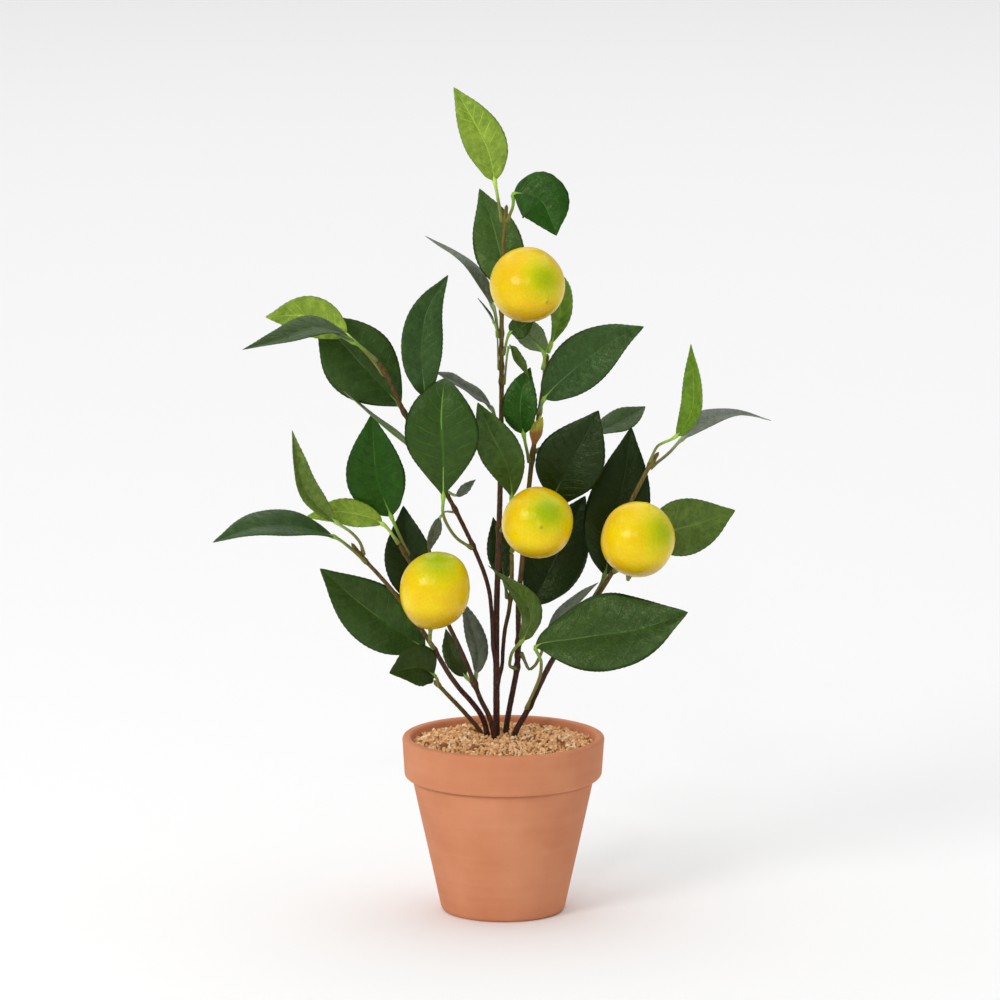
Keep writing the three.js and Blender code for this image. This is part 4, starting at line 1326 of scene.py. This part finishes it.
# Which way each lemon's green patch looks, and its spread and strength.
GREEN_PATCHES = {
    "lemon_top": ((0.42, -0.86, 0.28), 0.62, 0.8),
    "lemon_middle": ((0.3, -0.82, 0.48), 0.62, 1.0),
    "lemon_right": ((0.66, -0.68, 0.32), 0.66, 0.75),
    "lemon_left": ((0.1, -0.45, 0.88), 0.7, 0.88),
}

# Where a lemon isn't round: the way that a shoulder looks, its spread and how far it swells.
SHOULDERS = {"lemon_left": [((0.62, -0.2, 0.76), 0.5, 1.3 * MM), ((-0.5, -0.2, -0.84), 0.5, 1.1 * MM)]}


def even_directions(count):
    """Directions spread evenly over a globe, on one spiral from pole to pole."""
    number = np.arange(count) + 0.5
    height = 1 - 2 * number / count
    turn = number * math.pi * (3 - math.sqrt(5))
    across = np.sqrt(1 - height ** 2)
    return np.stack([across * np.cos(turn), across * np.sin(turn), height], axis=1)


def angle_from(way, directions):
    """The angle between one way and each direction."""
    return np.arccos(np.clip(directions @ unit(np.array(way)), -1, 1))


def nearest_angle(directions, targets):
    """The angle from each direction to the nearest target."""
    best = np.full(len(directions), -1.0)
    for chunk in np.array_split(targets, max(1, len(targets) // 100)):
        best = np.maximum(best, (directions @ chunk.T).max(axis=1))
    return np.arccos(np.clip(best, -1, 1))


def globe(rows, sides):
    """Directions and faces of a globe about Z, with one corner at each pole."""
    polar = np.linspace(0, math.pi, rows + 1)[1:-1]
    turn = np.arange(sides) * 2 * math.pi / sides
    p, q = np.meshgrid(polar, turn, indexing="ij")
    rings = np.stack([np.sin(p) * np.cos(q), np.sin(p) * np.sin(q), np.cos(p)], axis=-1).reshape(-1, 3)
    faces = ring_faces(rows - 1, sides)
    top, bottom = len(rings), len(rings) + 1
    for side in range(sides):
        other = (side + 1) % sides
        faces.append((top, other, side))
        faces.append((bottom, top - sides + side, top - sides + other))
    return np.concatenate([rings, [[0, 0, 1.0], [0, 0, -1.0]]]), faces


def turn_from_up(way):
    """The turn that takes the upward direction to that way, as a matrix."""
    return np.array(Vector((0, 0, 1)).rotation_difference(Vector(way)).to_matrix())


def pits_of(lemon, directions, chance):
    """1 in the middle of each pit of the peel, falling off around it."""
    count = round(4 * math.pi * (lemon["radius"] / PIT_SPACING) ** 2)
    targets = unit(even_directions(count) + chance.normal(size=(count, 3)) * 0.02)
    return hill(nearest_angle(directions, targets) * lemon["radius"], PIT_RADIUS)


def peel_swell(corners, pit, from_blossom, seed):
    """How far the peel stands out: soft lumps, pits, the knob in its dip, and the sunken stalk end."""
    swell = LUMPS * gentle_noise(corners, PEEL_LUMP_LENGTH, seed) - PIT_DEPTH * pit
    swell += KNOB_HEIGHT * hill(from_blossom, KNOB_ANGLE, 4)
    swell -= DIP_DEPTH * hill(from_blossom - 2.4 * KNOB_ANGLE, KNOB_ANGLE)
    swell -= CROWN_DIP * hill(math.pi - from_blossom, CROWN_ANGLE)
    return swell


def make_lemon(node, number):
    lemon = LEMONS[node]
    directions, faces = globe(LEMON_ROWS, LEMON_SIDES)
    pit = pits_of(lemon, directions, np.random.default_rng(40 + number))
    from_blossom = np.arccos(np.clip(directions[:, 2], -1, 1))
    corners = directions * (lemon["radius"], lemon["radius"], lemon["long"])
    corners = corners + directions * peel_swell(corners, pit, from_blossom, 60 + number)[:, None]
    corners = corners @ turn_from_up(lemon["axis"]).T + lemon["centre"]
    looks = unit(corners - lemon["centre"])
    for way, spread, rise in SHOULDERS.get(node, []):
        corners += looks * (rise * hill(angle_from(way, looks), spread))[:, None]
    way, spread, strength = GREEN_PATCHES[node]
    green = strength * hill(angle_from(way, looks), spread)
    scar = hill(from_blossom, SCAR_ANGLE, 4)
    # how far each corner faces down: the strength of the painted shade under the lemon
    under = smooth_step(0.3, 0.95, -looks[:, 2])
    piece = new_piece("fruit_" + node, corners, faces, [peel_look],
                      attributes={"green": green, "pit": pit, "scar": scar, "under": under})
    face_outwards(piece)
    settle(piece, "lemon_peel", node)
    return piece


fruit = [make_lemon(node, number) for number, node in enumerate(LEMON_NODES)]
print("lemons:", sum(len(piece.data.polygons) for piece in fruit), "faces")

# %% [markdown]
# ## Fruit stalks
#
# A lemon hangs from a short woody stalk, and five small dry sepals lie on its shoulder where the flower
# was. The stalk follows the coarse one. The sepals could be five small leaves, but they have shrunk
# together, so they are one small disc whose edge swings in and out five times, laid on the fruit.

# %% The finish of the fruit stalk
def twig_finish():
    twig = Finish("fruit_stalk")
    grain = twig.noise(800, 4, 0.6)
    colour = twig.blend(twig.fade(grain, 0.3, 0.7), paint(84, 98, 34), paint(134, 146, 58))
    twig.set(Base_Color=colour, Roughness=0.6, Normal=twig.relief(grain, 0.5, 0.0003))
    return twig.material


twig_look = twig_finish()
print("finish:", twig_look.name)

# %% Make the fruit stalks
SEPAL_REACH = 3.3 * MM
SEPAL_SWING = 0.9 * MM
SEPAL_THICKNESS = 0.45 * MM
SEPAL_COUNT = 5
STAR_SIDES = 60
STAR_GAP = 0.1 * MM
STAR_CURL = 0.5 * MM
TWIG_SIDES = 14
TWIG_GIRTH = 1.15 * MM
TWIG_FRUIT_RISE = 0.9 * MM  # how much thicker the stalk is where it meets the fruit, and over what length
TWIG_FRUIT_LENGTH = 1.8 * MM
TWIG_STEM_RISE = 0.5 * MM
TWIG_STEM_LENGTH = 2 * MM


def star_of_sepals(lemon):
    """A thin five-pointed star on the fruit's shoulder, closed above and below."""
    angles = np.arange(STAR_SIDES) * 2 * math.pi / STAR_SIDES
    edge = SEPAL_REACH + SEPAL_SWING * np.cos(SEPAL_COUNT * angles)
    shares = (0.12, 0.35, 0.6, 0.82, 1.0)
    rings = []
    for side, order in ((1, shares), (-1, shares[::-1])):
        for share in order:
            radius = edge * share
            on_fruit = lemon["long"] - lemon["radius"] + np.sqrt(lemon["radius"] ** 2 - radius ** 2)
            height = on_fruit + side * SEPAL_THICKNESS / 2 * (1.3 - share)
            height = height + STAR_GAP + STAR_CURL * share ** 3
            rings.append(np.stack([radius * np.cos(angles), radius * np.sin(angles), height], axis=1))
    corners = np.concatenate(rings) @ turn_from_up(-lemon["axis"]).T + lemon["centre"]
    faces = ring_faces(len(rings), STAR_SIDES)
    faces.append(tuple(range(STAR_SIDES)))
    faces.append(tuple(range(len(corners) - 1, len(corners) - 1 - STAR_SIDES, -1)))
    return corners, faces


def make_fruit_stalk(node):
    lemon = LEMONS["lemon_" + node[len("stalk_"):-len("_lemon")]]
    start, rings, end = rings_of(node)
    if np.linalg.norm(start - lemon["centre"]) > np.linalg.norm(end - lemon["centre"]):
        start, rings, end = reversed_loft((start, rings, end))
    centres = np.array([ring.mean(axis=0) for ring in rings])
    outward = unit(centres[-1] - centres[-2])
    centres = np.concatenate([centres, (centres[-1] + outward * FOOT_SUNK)[None]])
    way = run_length(centres)
    at = np.linspace(0, way[-1], round(way[-1] / MM))
    line = smooth_through(way, centres, at)
    girth = TWIG_GIRTH + TWIG_FRUIT_RISE * hill(at, TWIG_FRUIT_LENGTH)
    girth += TWIG_STEM_RISE * hill(way[-1] - at, TWIG_STEM_LENGTH)
    ups = np.repeat(unit(np.array([[0.31, 0.47, 0.83]])), len(line), axis=0)
    corners, faces = joined(rod(line, girth, ups, TWIG_SIDES), star_of_sepals(lemon))
    piece = new_piece("twig_" + node[len("stalk_"):], corners, faces, [twig_look])
    face_outwards(piece)
    settle(piece, "fruit_stalk", node)
    return piece


twigs = [make_fruit_stalk(node) for node in STALK_NODES]
print("fruit stalks:", sum(len(piece.data.polygons) for piece in twigs), "faces")

# %% [markdown]
# ## Floor and light
#
# The tree stands on a plain pale floor that runs to the horizon, so the floor is the whole background.
# One soft light from the upper left models the leaves and the pot. A small one in front puts the glint on
# the peel, a very wide one overhead lights the floor evenly, and the pale surroundings open the shadows.

# %% The floor
FLOOR_SIZE = 40
FLOOR_TONE = 0.97

floor_finish = Finish("pale_floor")
floor_finish.set(Base_Color=(FLOOR_TONE, FLOOR_TONE, FLOOR_TONE, 1), Roughness=0.9)
half = FLOOR_SIZE / 2
floor_mesh = bpy.data.meshes.new("pale_floor")
floor_corners = [(-half, -half, 0), (half, -half, 0), (half, half, 0), (-half, half, 0)]
floor_mesh.from_pydata(floor_corners, [], [(0, 1, 2, 3)])
floor_mesh.materials.append(floor_finish.material)
floor = add_object("pale_floor", floor_mesh)
print("floor", FLOOR_SIZE, "m across")

# %% The lights
def soft_light(name, place, aim, size, power):
    """A round lamp, its size in metres across and its power in watts."""
    data = bpy.data.lights.new(name, "AREA")
    data.shape = "DISK"
    data.size = size
    data.energy = power
    light = add_object(name, data)
    light.location = place
    light.rotation_euler = (Vector(aim) - Vector(place)).to_track_quat("-Z", "Y").to_euler()
    return light


AIM = (0, 0, 0.25)
ROOM_BRIGHTNESS = 0.4

key = soft_light("key_light", (-1.7, -2.1, 1.7), AIM, 1.2, 32)
front = soft_light("front_light", (-0.5, -3.3, 1.9), AIM, 0.3, 9)
overhead = soft_light("overhead_light", (0, 3, 5), (0, 3, 0), 11, 290)

world = bpy.data.worlds.new("pale_room")
world.use_nodes = True
room = world.node_tree.nodes["Background"]
room.inputs["Color"].default_value = (1, 1, 1, 1)
room.inputs["Strength"].default_value = ROOM_BRIGHTNESS
bpy.context.scene.world = world
bpy.context.scene.view_settings.view_transform = "Standard"
print("lights:", key.name, front.name, overhead.name)
